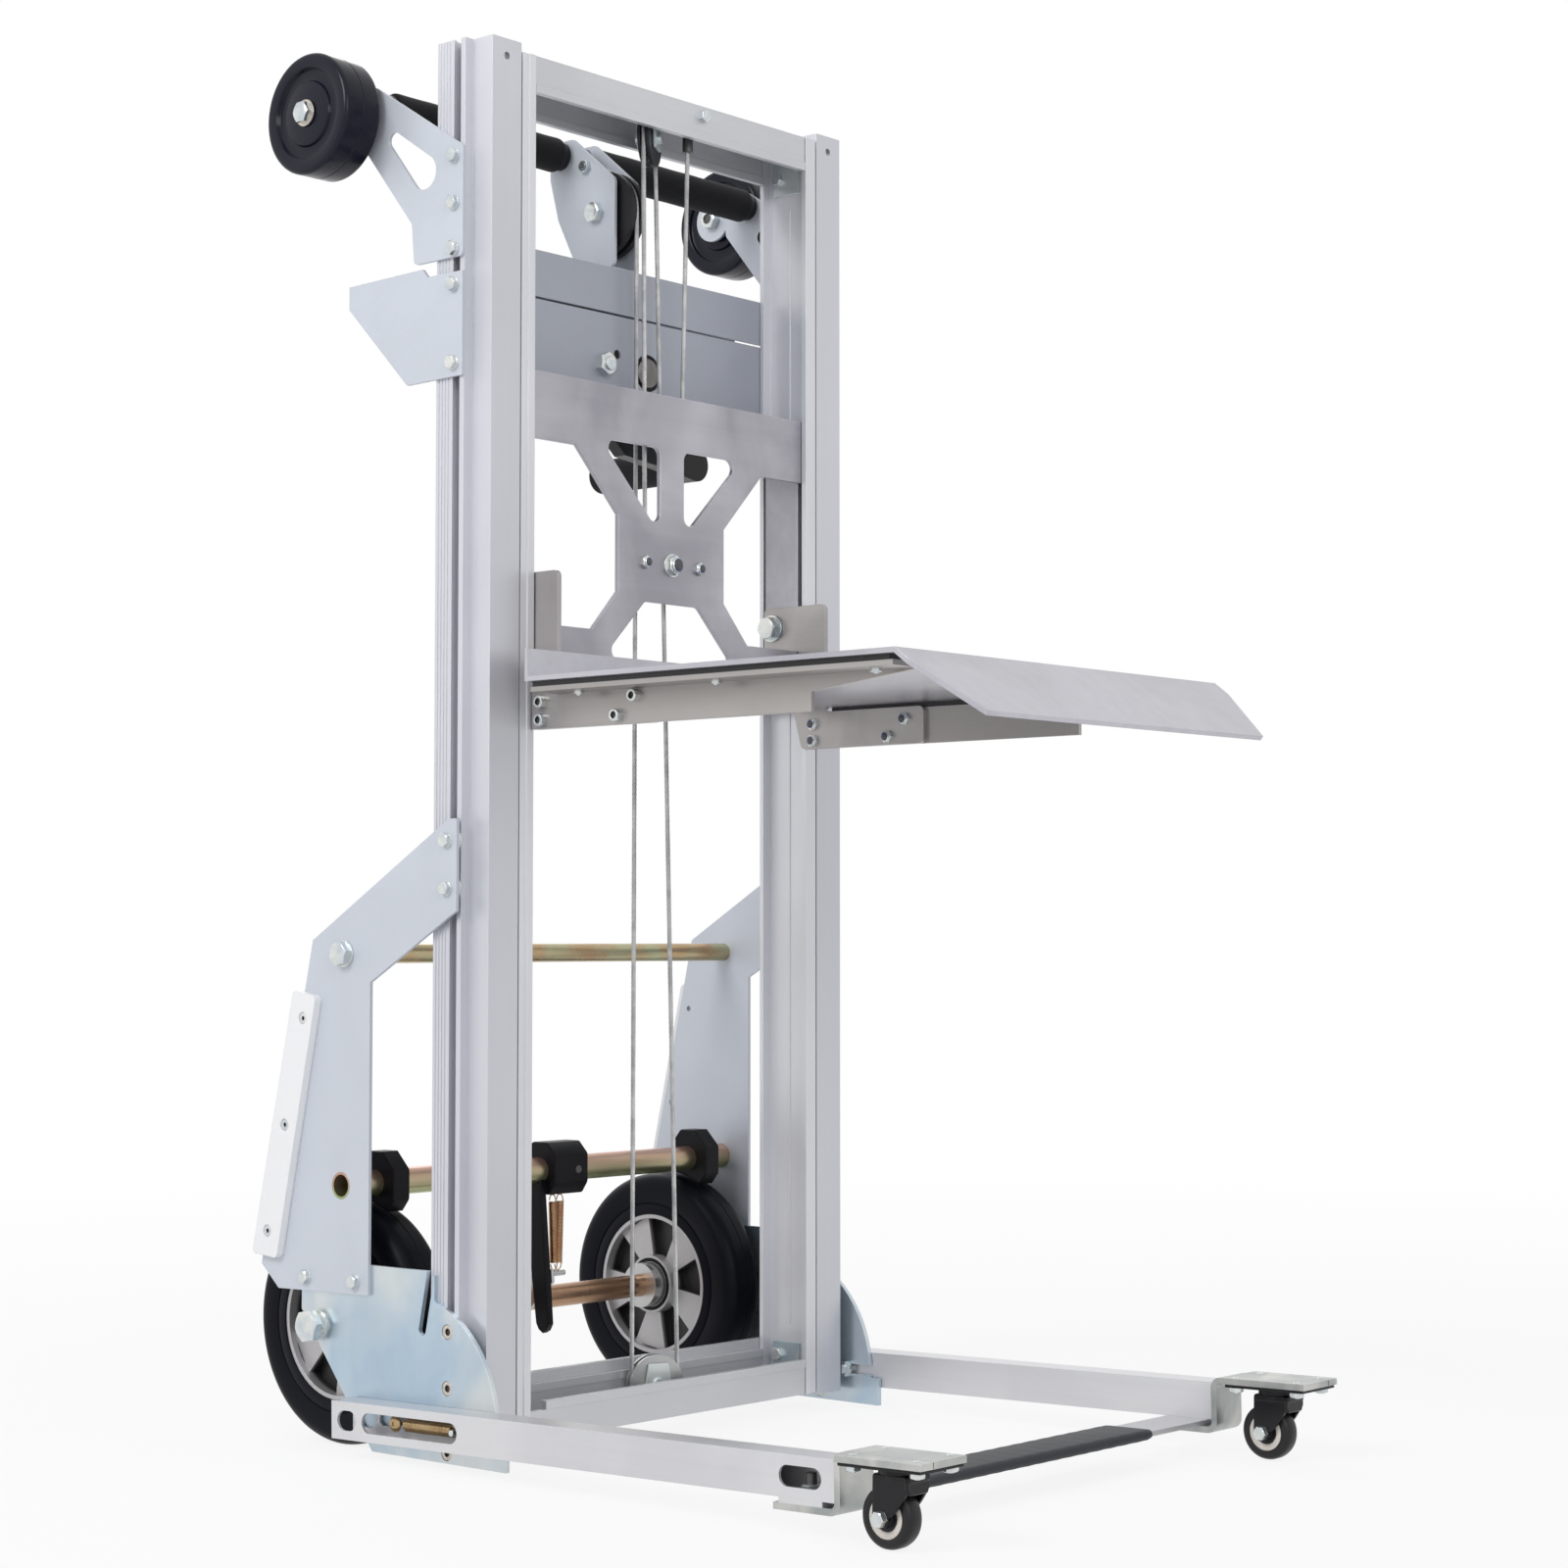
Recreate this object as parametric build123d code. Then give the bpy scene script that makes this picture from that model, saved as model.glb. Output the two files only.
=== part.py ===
from build123d import *
import math
import os

# Portable material lift: two outer mast columns on a folding base, an inner mast that
# telescopes in them, and a carriage with a folding platform that runs in the inner mast.
# Sizes are in millimetres. Shapes are drawn in mast coordinates: X across, Y = 0 on the
# front faces of the outer columns with the rear at +Y, and Z = 0 at the column foot.
# put() moves each finished piece to the floor and to the middle of the whole lift.

# Driving dimensions of the mast
COL_H = 1120.0          # outer column height
COL_FOOT = 16.0         # column foot above the floor
COL_IN = 183.0          # inner face of an outer column, from the middle
COL_STEP = 215.0        # outer face of the column's front part
COL_OUT = 224.0         # outer face of the column's rear part
COL_D = 54.0            # column depth
STEP_Y = 22.0           # where the rear part begins
SLOT_Y = 31.0           # centre line of the T-slot, and of every bolt in it
TONGUE_Y = 27.0         # centre line of the slot that guides the inner mast
TONGUE_W = 13.0
TONGUE_L = 13.5
SLIDE = 0.5             # sliding clearance of the telescoping profiles
RUN = 0.05              # radial running clearance of shafts and pins
SEAT = 0.3              # gap left between a resting curved piece and its seat

# Inner mast
IN_WEB = 181.5          # outer face of an inner column's web
IN_LIP = 167.5          # inner edge of its lips
IN_T = 4.0              # web and lip thickness
DEPTH_GAP = 0.6         # how much shallower it is than the outer column
IN_D = COL_D - DEPTH_GAP
IN_Z0 = 2.0
IN_Z1 = COL_H - 7.0
BEAD = 7.0              # width of the thick edge on each lip
BEAM_FRONT = 30.0       # flange heights of the two beams
BEAM_REAR = 35.0

# Carriage and platform
CAR_T = 4.0
CAR_Y = 4.5             # front face of the X-shaped carriage plate
CAR_TOP = 858.0
CAR_BAR = 55.0          # height of its top bar
CAR_BOTTOM = 600.0
SIDE_X = 167.0          # inner face of a carriage side plate
HINGE = (34.0, 675.0)   # pivot of the folding platform (Y, Z)
HINGE_R = 6.0
ARM_X = 162.5           # inner face of a platform bracket
ARM_T = 4.0
DECK_W = 205.0          # half width of the platform
DECK_Y0 = -29.0
DECK_Y1 = -403.0
DECK_TOP = 605.0
DECK_T = 4.0
RAIL_GAP = 4.0          # rubber strip between platform plate and rail
RAIL_T = 4.0
RAIL_H = 31.0           # height of a rail's upright leg

# Base
PLATE_T = 3.0           # side plates and winch plates
CAM_T = 4.0
PIVOT = (75.0, 17.0)    # leg pivot (Y, Z)
PIVOT_R = 5.0
CAM_R = 101.0           # rim on which the lock pin rides
PULL = 26.0             # how far a leg is pulled to free its lock pin
PIN_R = 4.0
LEG_TILT = 1.2          # the legs rise a little towards the front, degrees
LEG_X0 = 228.5
LEG_W = 25.0
LEG_H = 30.0
LEG_WALL = 2.5
LEG_REAR = 138.0
LEG_FRONT = -387.0
WHEEL = (186.0, 84.0)   # rear axle (Y, Z)
WHEEL_R = 100.0
WHEEL_X0 = 166.0
WHEEL_W = 45.0
RIM_R = 63.0
AXLE_R = 10.0
BRAKE = (155.0, 199.0)  # brake tube (Y, Z)
BRAKE_R = 11.0
TIE = (152.0, 387.0)    # tie rod (Y, Z)
TIE_R = 8.0
CASTER = (240.0, -436.0)
CASTER_R = 22.0
CASTER_TRAIL = 9.0

# Head: handle, transport wheels, winch and pulleys
TOP_WHEEL = (163.0, COL_H - 46)
TOP_WHEEL_R = 50.0
HANDLE = (119.0, COL_H - 41)
HANDLE_R = 12.0
HANDLE_WALL = 2.0
GRIP_R = 15.0
DRUM = (-33.0, COL_H - 233)    # drum axle (X, Z), parallel to Y
MODULE = 2.0
GEAR_N = 42
PINION_N = 13
CRANK_X = DRUM[0] + MODULE * (GEAR_N + PINION_N) / 2
CRANK_END = (200.0, COL_H - 280)
WINCH_REAR = 157.0
CABLE_R = 2.0
PULLEY_PITCH = 21.0     # cable line radius on the three small pulleys
HEAD_PULLEY = (76.0, COL_H - 97)
HEAD_PITCH = 34.0
HEAD_X = -5.0

MAST_Y = 91.3           # from mast coordinates to the middle of the lift


def box(x0, x1, y0, y1, z0, z1):
    return Pos((x0 + x1) / 2, (y0 + y1) / 2, (z0 + z1) / 2) * Box(x1 - x0, y1 - y0, z1 - z0)


def rod_x(x0, x1, y, z, r):
    return Pos((x0 + x1) / 2, y, z) * Rot(0, 90, 0) * Cylinder(r, x1 - x0)


def rod_y(y0, y1, x, z, r):
    return Pos(x, (y0 + y1) / 2, z) * Rot(90, 0, 0) * Cylinder(r, y1 - y0)


def rod_z(z0, z1, x, y, r):
    return Pos(x, y, (z0 + z1) / 2) * Cylinder(r, z1 - z0)


def hex_x(x0, x1, y, z, flats):
    face = Plane.YZ.offset(x0) * Pos(y, z) * RegularPolygon(flats / 2, 6, major_radius=False)
    return extrude(face, x1 - x0)


def hex_y(y0, y1, x, z, flats):
    face = Plane.XZ.offset(-y0) * Pos(x, z) * RegularPolygon(flats / 2, 6, major_radius=False)
    return extrude(face, y0 - y1)


def hex_z(z0, z1, x, y, flats):
    face = Plane.XY.offset(z0) * Pos(x, y) * RegularPolygon(flats / 2, 6, major_radius=False)
    return extrude(face, z1 - z0)


def outline(points, radius):
    face = make_face(Polyline(*points, close=True))
    return fillet(face.vertices(), radius) if radius else face


def plate_yz(points, x0, x1, radius=0.0):
    return extrude(Plane.YZ.offset(x0) * outline(points, radius), x1 - x0)


def plate_xz(points, y0, y1, radius=0.0):
    return extrude(Plane.XZ.offset(-y0) * outline(points, radius), y0 - y1)


def slot_yz(x0, x1, y0, y1, z, r):
    bar = box(x0, x1, y0, y1, z - r, z + r)
    return bar + rod_x(x0, x1, y0, z, r) + rod_x(x0, x1, y1, z, r)


def flip(shape):
    return mirror(shape, Plane.YZ)


def both(shape):
    return [shape, flip(shape)]


def put(name, *shapes):
    solids = [s for shape in shapes for s in shape.solids()]
    placed = [s.moved(Location((0, MAST_Y, COL_FOOT))) for s in solids]
    export_step(placed[0] if len(placed) == 1 else Compound(placed), f"parts/{name}.step")


def biarc(p0, t0, p1, t1):
    """Two tangent arcs from p0 along t0 to p1 along t1."""
    v = p1 - p0
    t = t0 + t1
    k = 2 * (1 - t0.dot(t1))
    vt = v.dot(t)
    if k < 1e-9:
        d = v.dot(v) / (2 * vt)
    else:
        d = (-vt + math.sqrt(vt * vt + k * v.dot(v))) / k
    m = (p0 + p1 + (t0 - t1) * d) * 0.5
    tm = (m - p0 - t0 * d).normalized()
    return [TangentArc(p0, m, tangent=t0), TangentArc(m, p1, tangent=tm)]


def tube(edges, start, direction, r):
    section = Plane(origin=start, z_dir=direction) * Circle(r)
    return sweep(section, path=Wire(edges))


def helix_knots(axis_at, radius, pitch, turns, phase):
    """Points and tangents every half turn of a helix that climbs +Z."""
    knots = []
    for i in range(2 * turns + 1):
        a = phase + math.pi * i
        rise = pitch * i / 2
        point = Vector(*axis_at) + Vector(radius * math.cos(a), radius * math.sin(a), rise)
        slope = pitch / (2 * math.pi)
        knots.append((point, Vector(-radius * math.sin(a), radius * math.cos(a), slope).normalized()))
    return knots


def coil(radius, length, turns, wire):
    """Upright spring from Z = 0 to its length: straight tails on the axis and even curls."""
    tail = 2 * wire
    lead = 1.2 * radius
    pitch = (length - 2 * (tail + lead)) / turns
    knots = helix_knots((0, 0, tail + lead), radius, pitch, turns, 0.0)
    up = Vector(0, 0, 1)
    first = Vector(0, 0, 0)
    last = Vector(0, 0, length)
    edges = [Line(first, first + up * tail)]
    edges += biarc(first + up * tail, up, *knots[0])
    for a, b in zip(knots, knots[1:]):
        edges += biarc(*a, *b)
    edges += biarc(*knots[-1], last - up * tail, up)
    edges.append(Line(last - up * tail, last))
    gap = pitch * math.cos(math.atan(pitch / (2 * math.pi * radius))) - 2 * wire
    print(f"coil of {turns} curls: gap between curls {gap:.2f} mm, length {length:.1f} mm")
    return tube(edges, first, up, wire)


def pulley(pitch, rim, width, bore):
    """Grooved pulley about the Z axis; the cable's centre runs at the pitch radius."""
    groove_r = CABLE_R + 2 * SEAT
    ring = Cylinder(rim + 1, 2 * groove_r) - Cylinder(pitch, 2 * groove_r)
    return Cylinder(rim, width) - Torus(pitch, groove_r) - ring - Cylinder(bore, width * 2)


os.makedirs("parts", exist_ok=True)

# Outer columns: one extrusion with a T-slot outside and a guide slot inside
column = box(COL_IN, COL_STEP, 0, COL_D, 0, COL_H)
column += box(COL_STEP, COL_OUT, STEP_Y, COL_D, 0, COL_H)
column -= box(COL_OUT - 3, COL_OUT, SLOT_Y - 4, SLOT_Y + 4, 0, COL_H)
column -= box(COL_OUT - 10, COL_OUT - 3, SLOT_Y - 6.5, SLOT_Y + 6.5, 0, COL_H)
tongue_gap = TONGUE_W / 2 + SLIDE
column -= box(COL_IN, IN_WEB + TONGUE_L + 2, TONGUE_Y - tongue_gap, TONGUE_Y + tongue_gap, 0, COL_H)
column -= box(COL_IN + 3.5, COL_STEP - 3.5, 3.5, STEP_Y - 6, 0, COL_H)
column -= box(COL_IN + 3.5, COL_OUT - 3.5, SLOT_Y + 10, COL_D - 3.5, 0, COL_H)
for i in range(4):
    rib_y = COL_D - 4 - 3.6 * i
    column -= box(COL_OUT - 0.6, COL_OUT, rib_y, rib_y + 1.2, 0, COL_H)
column -= rod_y(-1, 4, (COL_IN + COL_STEP) / 2, COL_H - 14, 3.2)
put("outer_columns", *both(column))

# Flat bar that ties the columns behind the mast, near the floor
put("rear_cross_beam", box(-COL_STEP, COL_STEP, COL_D, COL_D + 5, 20, 46))

# Inner columns: channels that open inwards, with a tongue in the outer column's slot
inner = box(IN_WEB - IN_T, IN_WEB, 0, IN_D, IN_Z0, IN_Z1)
inner += box(IN_LIP, IN_WEB, 0, IN_T, IN_Z0, IN_Z1)
inner += box(IN_LIP, IN_WEB, IN_D - IN_T, IN_D, IN_Z0, IN_Z1)
inner += box(IN_LIP, IN_LIP + BEAD, -1, IN_T, IN_Z0, IN_Z1)
inner += box(IN_WEB, IN_WEB + TONGUE_L, TONGUE_Y - TONGUE_W / 2, TONGUE_Y + TONGUE_W / 2, IN_Z0, IN_Z1)
inner += box(IN_WEB - IN_T - 0.8, IN_WEB - IN_T, TONGUE_Y - 1, TONGUE_Y + 1, 60, IN_Z1 - 60)
put("inner_columns", *both(inner))

# Beams of the inner mast: the same kind of channel, opening towards the mast's middle
BEAM_X = IN_LIP - SLIDE


def beam(z_web, up):
    """Channel across the mast; its flanges run from the web in direction up (+1 or -1)."""
    def level(a, b):
        return sorted((z_web + up * a, z_web + up * b))
    shape = box(-BEAM_X, BEAM_X, 0, IN_D, *level(0, IN_T))
    shape += box(-IN_WEB + IN_T, IN_WEB - IN_T, IN_T + SLIDE, IN_D - IN_T - SLIDE, *level(0, IN_T))
    shape += box(-BEAM_X, BEAM_X, 0, IN_T, *level(0, BEAM_FRONT))
    shape += box(-BEAM_X, BEAM_X, -1, IN_T + 0.5, *level(BEAM_FRONT - BEAD, BEAM_FRONT))
    shape += box(-BEAM_X, BEAM_X, IN_D - IN_T, IN_D, *level(0, BEAM_REAR))
    shape += box(-BEAM_X, BEAM_X, IN_D - IN_T - 1, IN_D, *level(BEAM_REAR - BEAD, BEAM_REAR))
    return shape


top_web = IN_Z1 - IN_T
bottom_web = IN_Z0 + IN_T
top_beam = beam(IN_Z1, -1)
bottom_beam = beam(IN_Z0, 1)
bottom_beam -= box(-BEAM_X, -BEAM_X + 17, -2, IN_T + 1, IN_Z0 + BEAM_FRONT - BEAD, IN_Z0 + BEAM_FRONT + 1)

# Zinc angles in the four inner corners, each with two bolts
ANGLE_T = 3.0
angle_x = IN_WEB - IN_T
top_angle = box(angle_x - ANGLE_T, angle_x, 14, 44, top_web - 42, top_web)
top_angle += box(angle_x - 28, angle_x, 14, 44, top_web - ANGLE_T, top_web)
low_angle = box(angle_x - ANGLE_T, angle_x, 14, 44, bottom_web, bottom_web + 38)
low_angle += box(angle_x - 28, angle_x, 14, 44, bottom_web, bottom_web + ANGLE_T)
put("corner_brackets", *both(top_angle), *both(low_angle))
corner_bolts = []
for z_face, way in ((top_web - ANGLE_T, -1), (bottom_web + ANGLE_T, 1)):
    z_tip = z_face + way * 6.5
    x_bolt = angle_x - 17
    head = hex_z(min(z_face, z_tip), max(z_face, z_tip), x_bolt, 36, 10)
    head += rod_z(min(z_face, z_face + way * 10), max(z_face, z_face + way * 10), x_bolt, 36, 3)
    z_side = z_face + way * 24
    side = hex_x(angle_x - ANGLE_T - 4, angle_x - ANGLE_T, 38, z_side, 10)
    corner_bolts += both(head) + both(side)

# Small pulleys of the hoist cable; top and bottom ones stand skewed in their beams
PULLEY_R = PULLEY_PITCH + 3.0
PULLEY_W = 10.0
AXLE_P = 5.0
TOP_P = Vector(-8.0, 24.5, IN_Z1 - 32)
LOW_P = Vector(10.0, 32.0, 26.0)
CAR_P = Vector(0.0, 16.0, 714.0)
TOP_TURN = 30.0
LOW_TURN = -23.0


def stand(shape, centre, turn):
    """Lay a shape made about Z on its side in the XZ plane, turn it about Z and place it."""
    return Pos(centre.X, centre.Y, centre.Z) * Rot(0, 0, turn) * Rot(90, 0, 0) * shape


small_pulley = pulley(PULLEY_PITCH, PULLEY_R, PULLEY_W, AXLE_P + RUN)
put("top_pulley", stand(small_pulley, TOP_P, TOP_TURN))
put("bottom_pulley", stand(small_pulley, LOW_P, LOW_TURN))
put("carriage_pulley", stand(small_pulley, CAR_P, 0))
CHEEK_T = 2.5
CHEEK_Y = PULLEY_W / 2 + 0.8


def yoke(centre, turn, z_web, way, crown, foot):
    """Two cheeks with an axle pin, standing on a beam's web; made upright, then turned."""
    reach = (z_web - centre.Z) * -way
    shape = None
    for side in (-1, 1):
        y0, y1 = sorted((side * CHEEK_Y, side * (CHEEK_Y + CHEEK_T)))
        cheek = plate_xz([(-15, 0), (15, 0), (9, reach + crown), (-9, reach + crown)], y0, y1, 2)
        shape = cheek if shape is None else shape + cheek
    if foot:
        shape += box(-15, 15, -CHEEK_Y, CHEEK_Y, 0, foot)
    shape += rod_y(-CHEEK_Y - CHEEK_T - 3, CHEEK_Y + CHEEK_T + 3, 0, reach, AXLE_P)
    if way < 0:
        shape = mirror(shape, Plane.XY)
    return Pos(centre.X, centre.Y, z_web) * Rot(0, 0, turn) * shape


put("pulley_yokes", yoke(TOP_P, TOP_TURN, top_web, -1, 10, 2), yoke(LOW_P, LOW_TURN, bottom_web, 1, 17, 0))

# Window in the bottom beam's web, through which the low pulley dips between its cheeks
window = box(-PULLEY_R - 1, PULLEY_R + 1, -PULLEY_W / 2 - 0.5, PULLEY_W / 2 + 0.5, IN_Z0 - 1, bottom_web + 1)
bottom_beam -= Pos(LOW_P.X, LOW_P.Y, 0) * Rot(0, 0, LOW_TURN) * window

# Bolts on the beams: the cable's end fitting, a front bolt and the corner bolts
ANCHOR = Vector(31.0, 16.0, IN_Z1 - 38)
anchor = rod_z(ANCHOR.Z, top_web, ANCHOR.X, ANCHOR.Y, 4.5)
anchor += hex_z(top_web - 7, top_web, ANCHOR.X, ANCHOR.Y, 13)
anchor -= rod_z(ANCHOR.Z - 1, ANCHOR.Z + 14, ANCHOR.X, ANCHOR.Y, CABLE_R + SEAT)
FRONT_BOLT = (33.0, IN_Z1 - 9)
front_bolt = hex_y(-5, 0, *FRONT_BOLT, 10) + rod_y(0, IN_T + 5, *FRONT_BOLT, 3)
front_bolt += hex_y(IN_T, IN_T + 5, *FRONT_BOLT, 10)
top_beam -= rod_y(-1, IN_T + 1, *FRONT_BOLT, 3)
put("top_beam", top_beam)
put("bottom_beam", bottom_beam)
put("beam_bolts", anchor, front_bolt, *corner_bolts)

# Carriage: X-shaped plate with lightening cut-outs
CAR_LAP = 2.0           # the plate reaches this far past a side plate's inner face
WAIST = 65.0            # half its width between the arms
WAIST_Z = (687.0, 751.0)
ARM_END = (95.5, 114.0)  # where the arms' outer edges meet the lower and the top bar
LOW_BAR = 653.0         # upper edge of the lower bar
CUT_R = 7.5             # corners of the cut-outs
half = SIDE_X + CAR_LAP
low_half = ARM_X - 1.0
bar_z = CAR_TOP - CAR_BAR
right_edge = [(half, CAR_TOP), (half, bar_z), (ARM_END[1], bar_z), (WAIST, WAIST_Z[1]), (WAIST, WAIST_Z[0]),
              (ARM_END[0], LOW_BAR), (low_half, LOW_BAR), (low_half, CAR_BOTTOM)]
left_edge = [(-x, z) for x, z in reversed(right_edge)]
car = plate_xz(right_edge + left_edge, CAR_Y, CAR_Y + CAR_T)
for side in (-1, 1):
    car -= plate_xz([(side * 14.5, bar_z + 9.5), (side * 87.5, bar_z + 9.5), (side * 14.5, WAIST_Z[1] - 12.5)],
                    CAR_Y - 1, CAR_Y + CAR_T + 1, CUT_R)
car -= plate_xz([(-33, 681), (33, 681), (83, 630), (-83, 630)], CAR_Y - 1, CAR_Y + CAR_T + 1, CUT_R)
GUARD_X = 33.0
GUARD_R = 3.0
car -= rod_y(CAR_Y - 1, CAR_Y + CAR_T + 1, CAR_P.X, CAR_P.Z, AXLE_P)
for side in (-1, 1):
    car -= rod_y(CAR_Y - 1, CAR_Y + CAR_T + 1, side * GUARD_X, CAR_P.Z, GUARD_R)
put("carriage_plate", car)

# Side plates of the carriage, inside the channels, with guide shoes of nylon
side_y0 = CAR_Y + CAR_T
SIDE_GAP = 3.4          # between a side plate's rear edge and the channel's rear lip
side_plate = box(SIDE_X, SIDE_X + CAR_T, side_y0, IN_D - IN_T - SIDE_GAP, CAR_BOTTOM, CAR_TOP)
side_plate -= rod_x(SIDE_X - 1, SIDE_X + CAR_T + 1, *HINGE, HINGE_R)
put("carriage_side_plates", *both(side_plate))
shoes = []
for z0 in (CAR_BOTTOM + 4, CAR_TOP - 54):
    shoe = box(SIDE_X + CAR_T, angle_x - SLIDE, IN_T + SLIDE, IN_D - IN_T - SLIDE, z0, z0 + 50)
    shoes += both(shoe - box(angle_x - 2, angle_x, TONGUE_Y - 2, TONGUE_Y + 2, z0, z0 + 50))
put("guide_shoes", *shoes)

# Carriage bolts: pulley axle with nut, two cable guards, two platform pivot bolts
rear_end = CAR_P.Y + PULLEY_W / 2
nuts = rod_y(CAR_Y - 9, rear_end + 1, CAR_P.X, CAR_P.Z, AXLE_P)
nuts += hex_y(CAR_Y - 7, CAR_Y - 1.2, CAR_P.X, CAR_P.Z, 15)
nuts += rod_y(CAR_Y - 1.2, CAR_Y, CAR_P.X, CAR_P.Z, 10)
nuts += hex_y(rear_end + 1, rear_end + 7, CAR_P.X, CAR_P.Z, 15)
nuts += rod_y(side_y0, side_y0 + (CAR_P.Y - PULLEY_W / 2 - side_y0) - SEAT, CAR_P.X, CAR_P.Z, 8)
guards = []
for side in (-1, 1):
    guard = rod_y(CAR_Y - 6, rear_end, side * GUARD_X, CAR_P.Z, GUARD_R)
    guard += hex_y(CAR_Y - 5, CAR_Y, side * GUARD_X, CAR_P.Z, 10)
    guard += hex_y(rear_end, rear_end + 4, side * GUARD_X, CAR_P.Z, 10)
    guards.append(guard)
pivot_bolt = rod_x(ARM_X - 4, SIDE_X + CAR_T + 4.5, *HINGE, HINGE_R)
pivot_bolt += rod_x(ARM_X - 2.5, ARM_X - SEAT, *HINGE, 12)
pivot_bolt += hex_x(ARM_X - 10, ARM_X - 2.5, *HINGE, 18)
pivot_bolt += rod_x(SIDE_X + CAR_T, SIDE_X + CAR_T + 4.5, *HINGE, 11)
put("carriage_bolts", nuts, *guards, *both(pivot_bolt))

# Platform plate with rear upstand and a front lip that is bent down and tapers
LIP_END = (-465.0, 558.0)
LIP_HALF = 178.0
deck = box(-DECK_W, DECK_W, DECK_Y1, DECK_Y0, DECK_TOP - DECK_T, DECK_TOP)
deck += box(-DECK_W, DECK_W, DECK_Y0 - 3, DECK_Y0, DECK_TOP, DECK_TOP + 22)
lip_len = math.hypot(LIP_END[0] - DECK_Y1, LIP_END[1] - DECK_TOP)
lip_plane = Plane(origin=(0, DECK_Y1, DECK_TOP), x_dir=(1, 0, 0),
                  z_dir=(0, LIP_END[1] - DECK_TOP, DECK_Y1 - LIP_END[0]))
lip_face = make_face(Polyline((-DECK_W, 0), (DECK_W, 0), (DECK_W, -16), (LIP_HALF, -lip_len),
                              (-LIP_HALF, -lip_len), (-DECK_W, -16), close=True))
deck += extrude(lip_plane * lip_face, -DECK_T)

# Rails: angles with the flange outwards; the upright leg steps and tapers to the front
RAIL_X = ARM_X + ARM_T
flange_top = DECK_TOP - DECK_T - RAIL_GAP
RAIL_BOTTOM = flange_top - RAIL_H
rail = plate_yz([(-2, flange_top), (-2, RAIL_BOTTOM), (-296, RAIL_BOTTOM), (-296, RAIL_BOTTOM + 15),
                 (-392, flange_top - RAIL_T - 1), (-392, flange_top)], RAIL_X, RAIL_X + RAIL_T)
rail += box(RAIL_X, DECK_W - 6, -396, DECK_Y0 - 1, flange_top - RAIL_T, flange_top)
strip = box(RAIL_X + 1, DECK_W - 7, -392, DECK_Y0 - 2, flange_top, flange_top + RAIL_GAP)
SCREW_Y = (-70.0, -215.0, -370.0)
SCREW_X = (RAIL_X + DECK_W) / 2
SCREW_R = 2.5
SCREW_HEAD_R = 4.5
SCREW_SINK = 2.0        # depth of the flush screw heads
for y in SCREW_Y:
    hole = rod_z(flange_top - 10, DECK_TOP + 5, SCREW_X, y, SCREW_R)
    rail -= hole
    strip -= hole
    hole += rod_z(DECK_TOP - SCREW_SINK, DECK_TOP + 5, SCREW_X, y, SCREW_HEAD_R)
    deck -= hole
    deck -= flip(hole)
put("platform_plate", deck)

# Hinge brackets: ears on the pivot bolts, arms bolted along the rails
ear = plate_yz([(44, 693), (DECK_Y0 + 2, 693), (DECK_Y0 + 2, flange_top + 1), (-137, flange_top + 1),
                (-137, RAIL_BOTTOM), (0, RAIL_BOTTOM), (20, 640), (44, 655)], ARM_X, ARM_X + ARM_T, 5)
ear -= rod_x(ARM_X - 1, ARM_X + ARM_T + 1, *HINGE, HINGE_R + RUN)
ARM_BOLTS = ((-14.0, flange_top - 9.5), (-14.0, RAIL_BOTTOM + 7), (-117.0, flange_top - 9.5),
             (-98.0, RAIL_BOTTOM + 7))
arm_bolts = []
for y, z in ARM_BOLTS:
    hole = rod_x(ARM_X - 1, RAIL_X + RAIL_T + 1, y, z, 3)
    ear -= hole
    rail -= hole
    bolt = rod_x(ARM_X - 7, RAIL_X + RAIL_T, y, z, 3)
    bolt += rod_x(RAIL_X + RAIL_T, RAIL_X + RAIL_T + 6, y, z, 5.0)
    bolt -= hex_x(RAIL_X + RAIL_T + 3, RAIL_X + RAIL_T + 7, y, z, 5)
    bolt += hex_x(ARM_X - 5, ARM_X, y, z, 10)
    arm_bolts += both(bolt)
put("platform_rails", *both(rail), *both(strip))
put("platform_brackets", *both(ear))
for y in SCREW_Y:
    screw = rod_z(flange_top - RAIL_T - 4, DECK_TOP - SCREW_SINK, SCREW_X, y, SCREW_R)
    screw += rod_z(DECK_TOP - SCREW_SINK, DECK_TOP, SCREW_X, y, SCREW_HEAD_R)
    screw += hex_z(flange_top - RAIL_T - 3, flange_top - RAIL_T, SCREW_X, y, 8)
    arm_bolts += both(screw)
put("platform_bolts", *arm_bolts)

# Brackets for the transport wheels at the mast head
BOLT_Z = {"head": (COL_H - 95, COL_H - 133, COL_H - 170), "winch": (COL_H - 199, COL_H - 262),
          "side": (477, 439)}
plate_out = COL_OUT + PLATE_T
HEAD_Z = COL_H - 177     # lower edge of the wheel brackets
head = plate_yz([(21, HEAD_Z + 89), (21, HEAD_Z), (78, HEAD_Z), (81, HEAD_Z + 34), (146, HEAD_Z + 113),
                 (150, HEAD_Z + 149), (127, HEAD_Z + 155)], COL_OUT, plate_out, 4)
head += rod_x(COL_OUT, plate_out, *TOP_WHEEL, 20)
opening = Sketch() + [Pos(103, HEAD_Z + 107) * Circle(6.5), Pos(66.5, HEAD_Z + 74) * Circle(14)]
head -= extrude(Plane.YZ.offset(COL_OUT - 1) * make_hull(opening.edges()), PLATE_T + 2)
head -= rod_x(COL_OUT - 1, plate_out + 1, *TOP_WHEEL, 5)
for z in BOLT_Z["head"]:
    head -= rod_x(COL_OUT - 1, plate_out + 1, SLOT_Y, z, 4)

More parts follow.
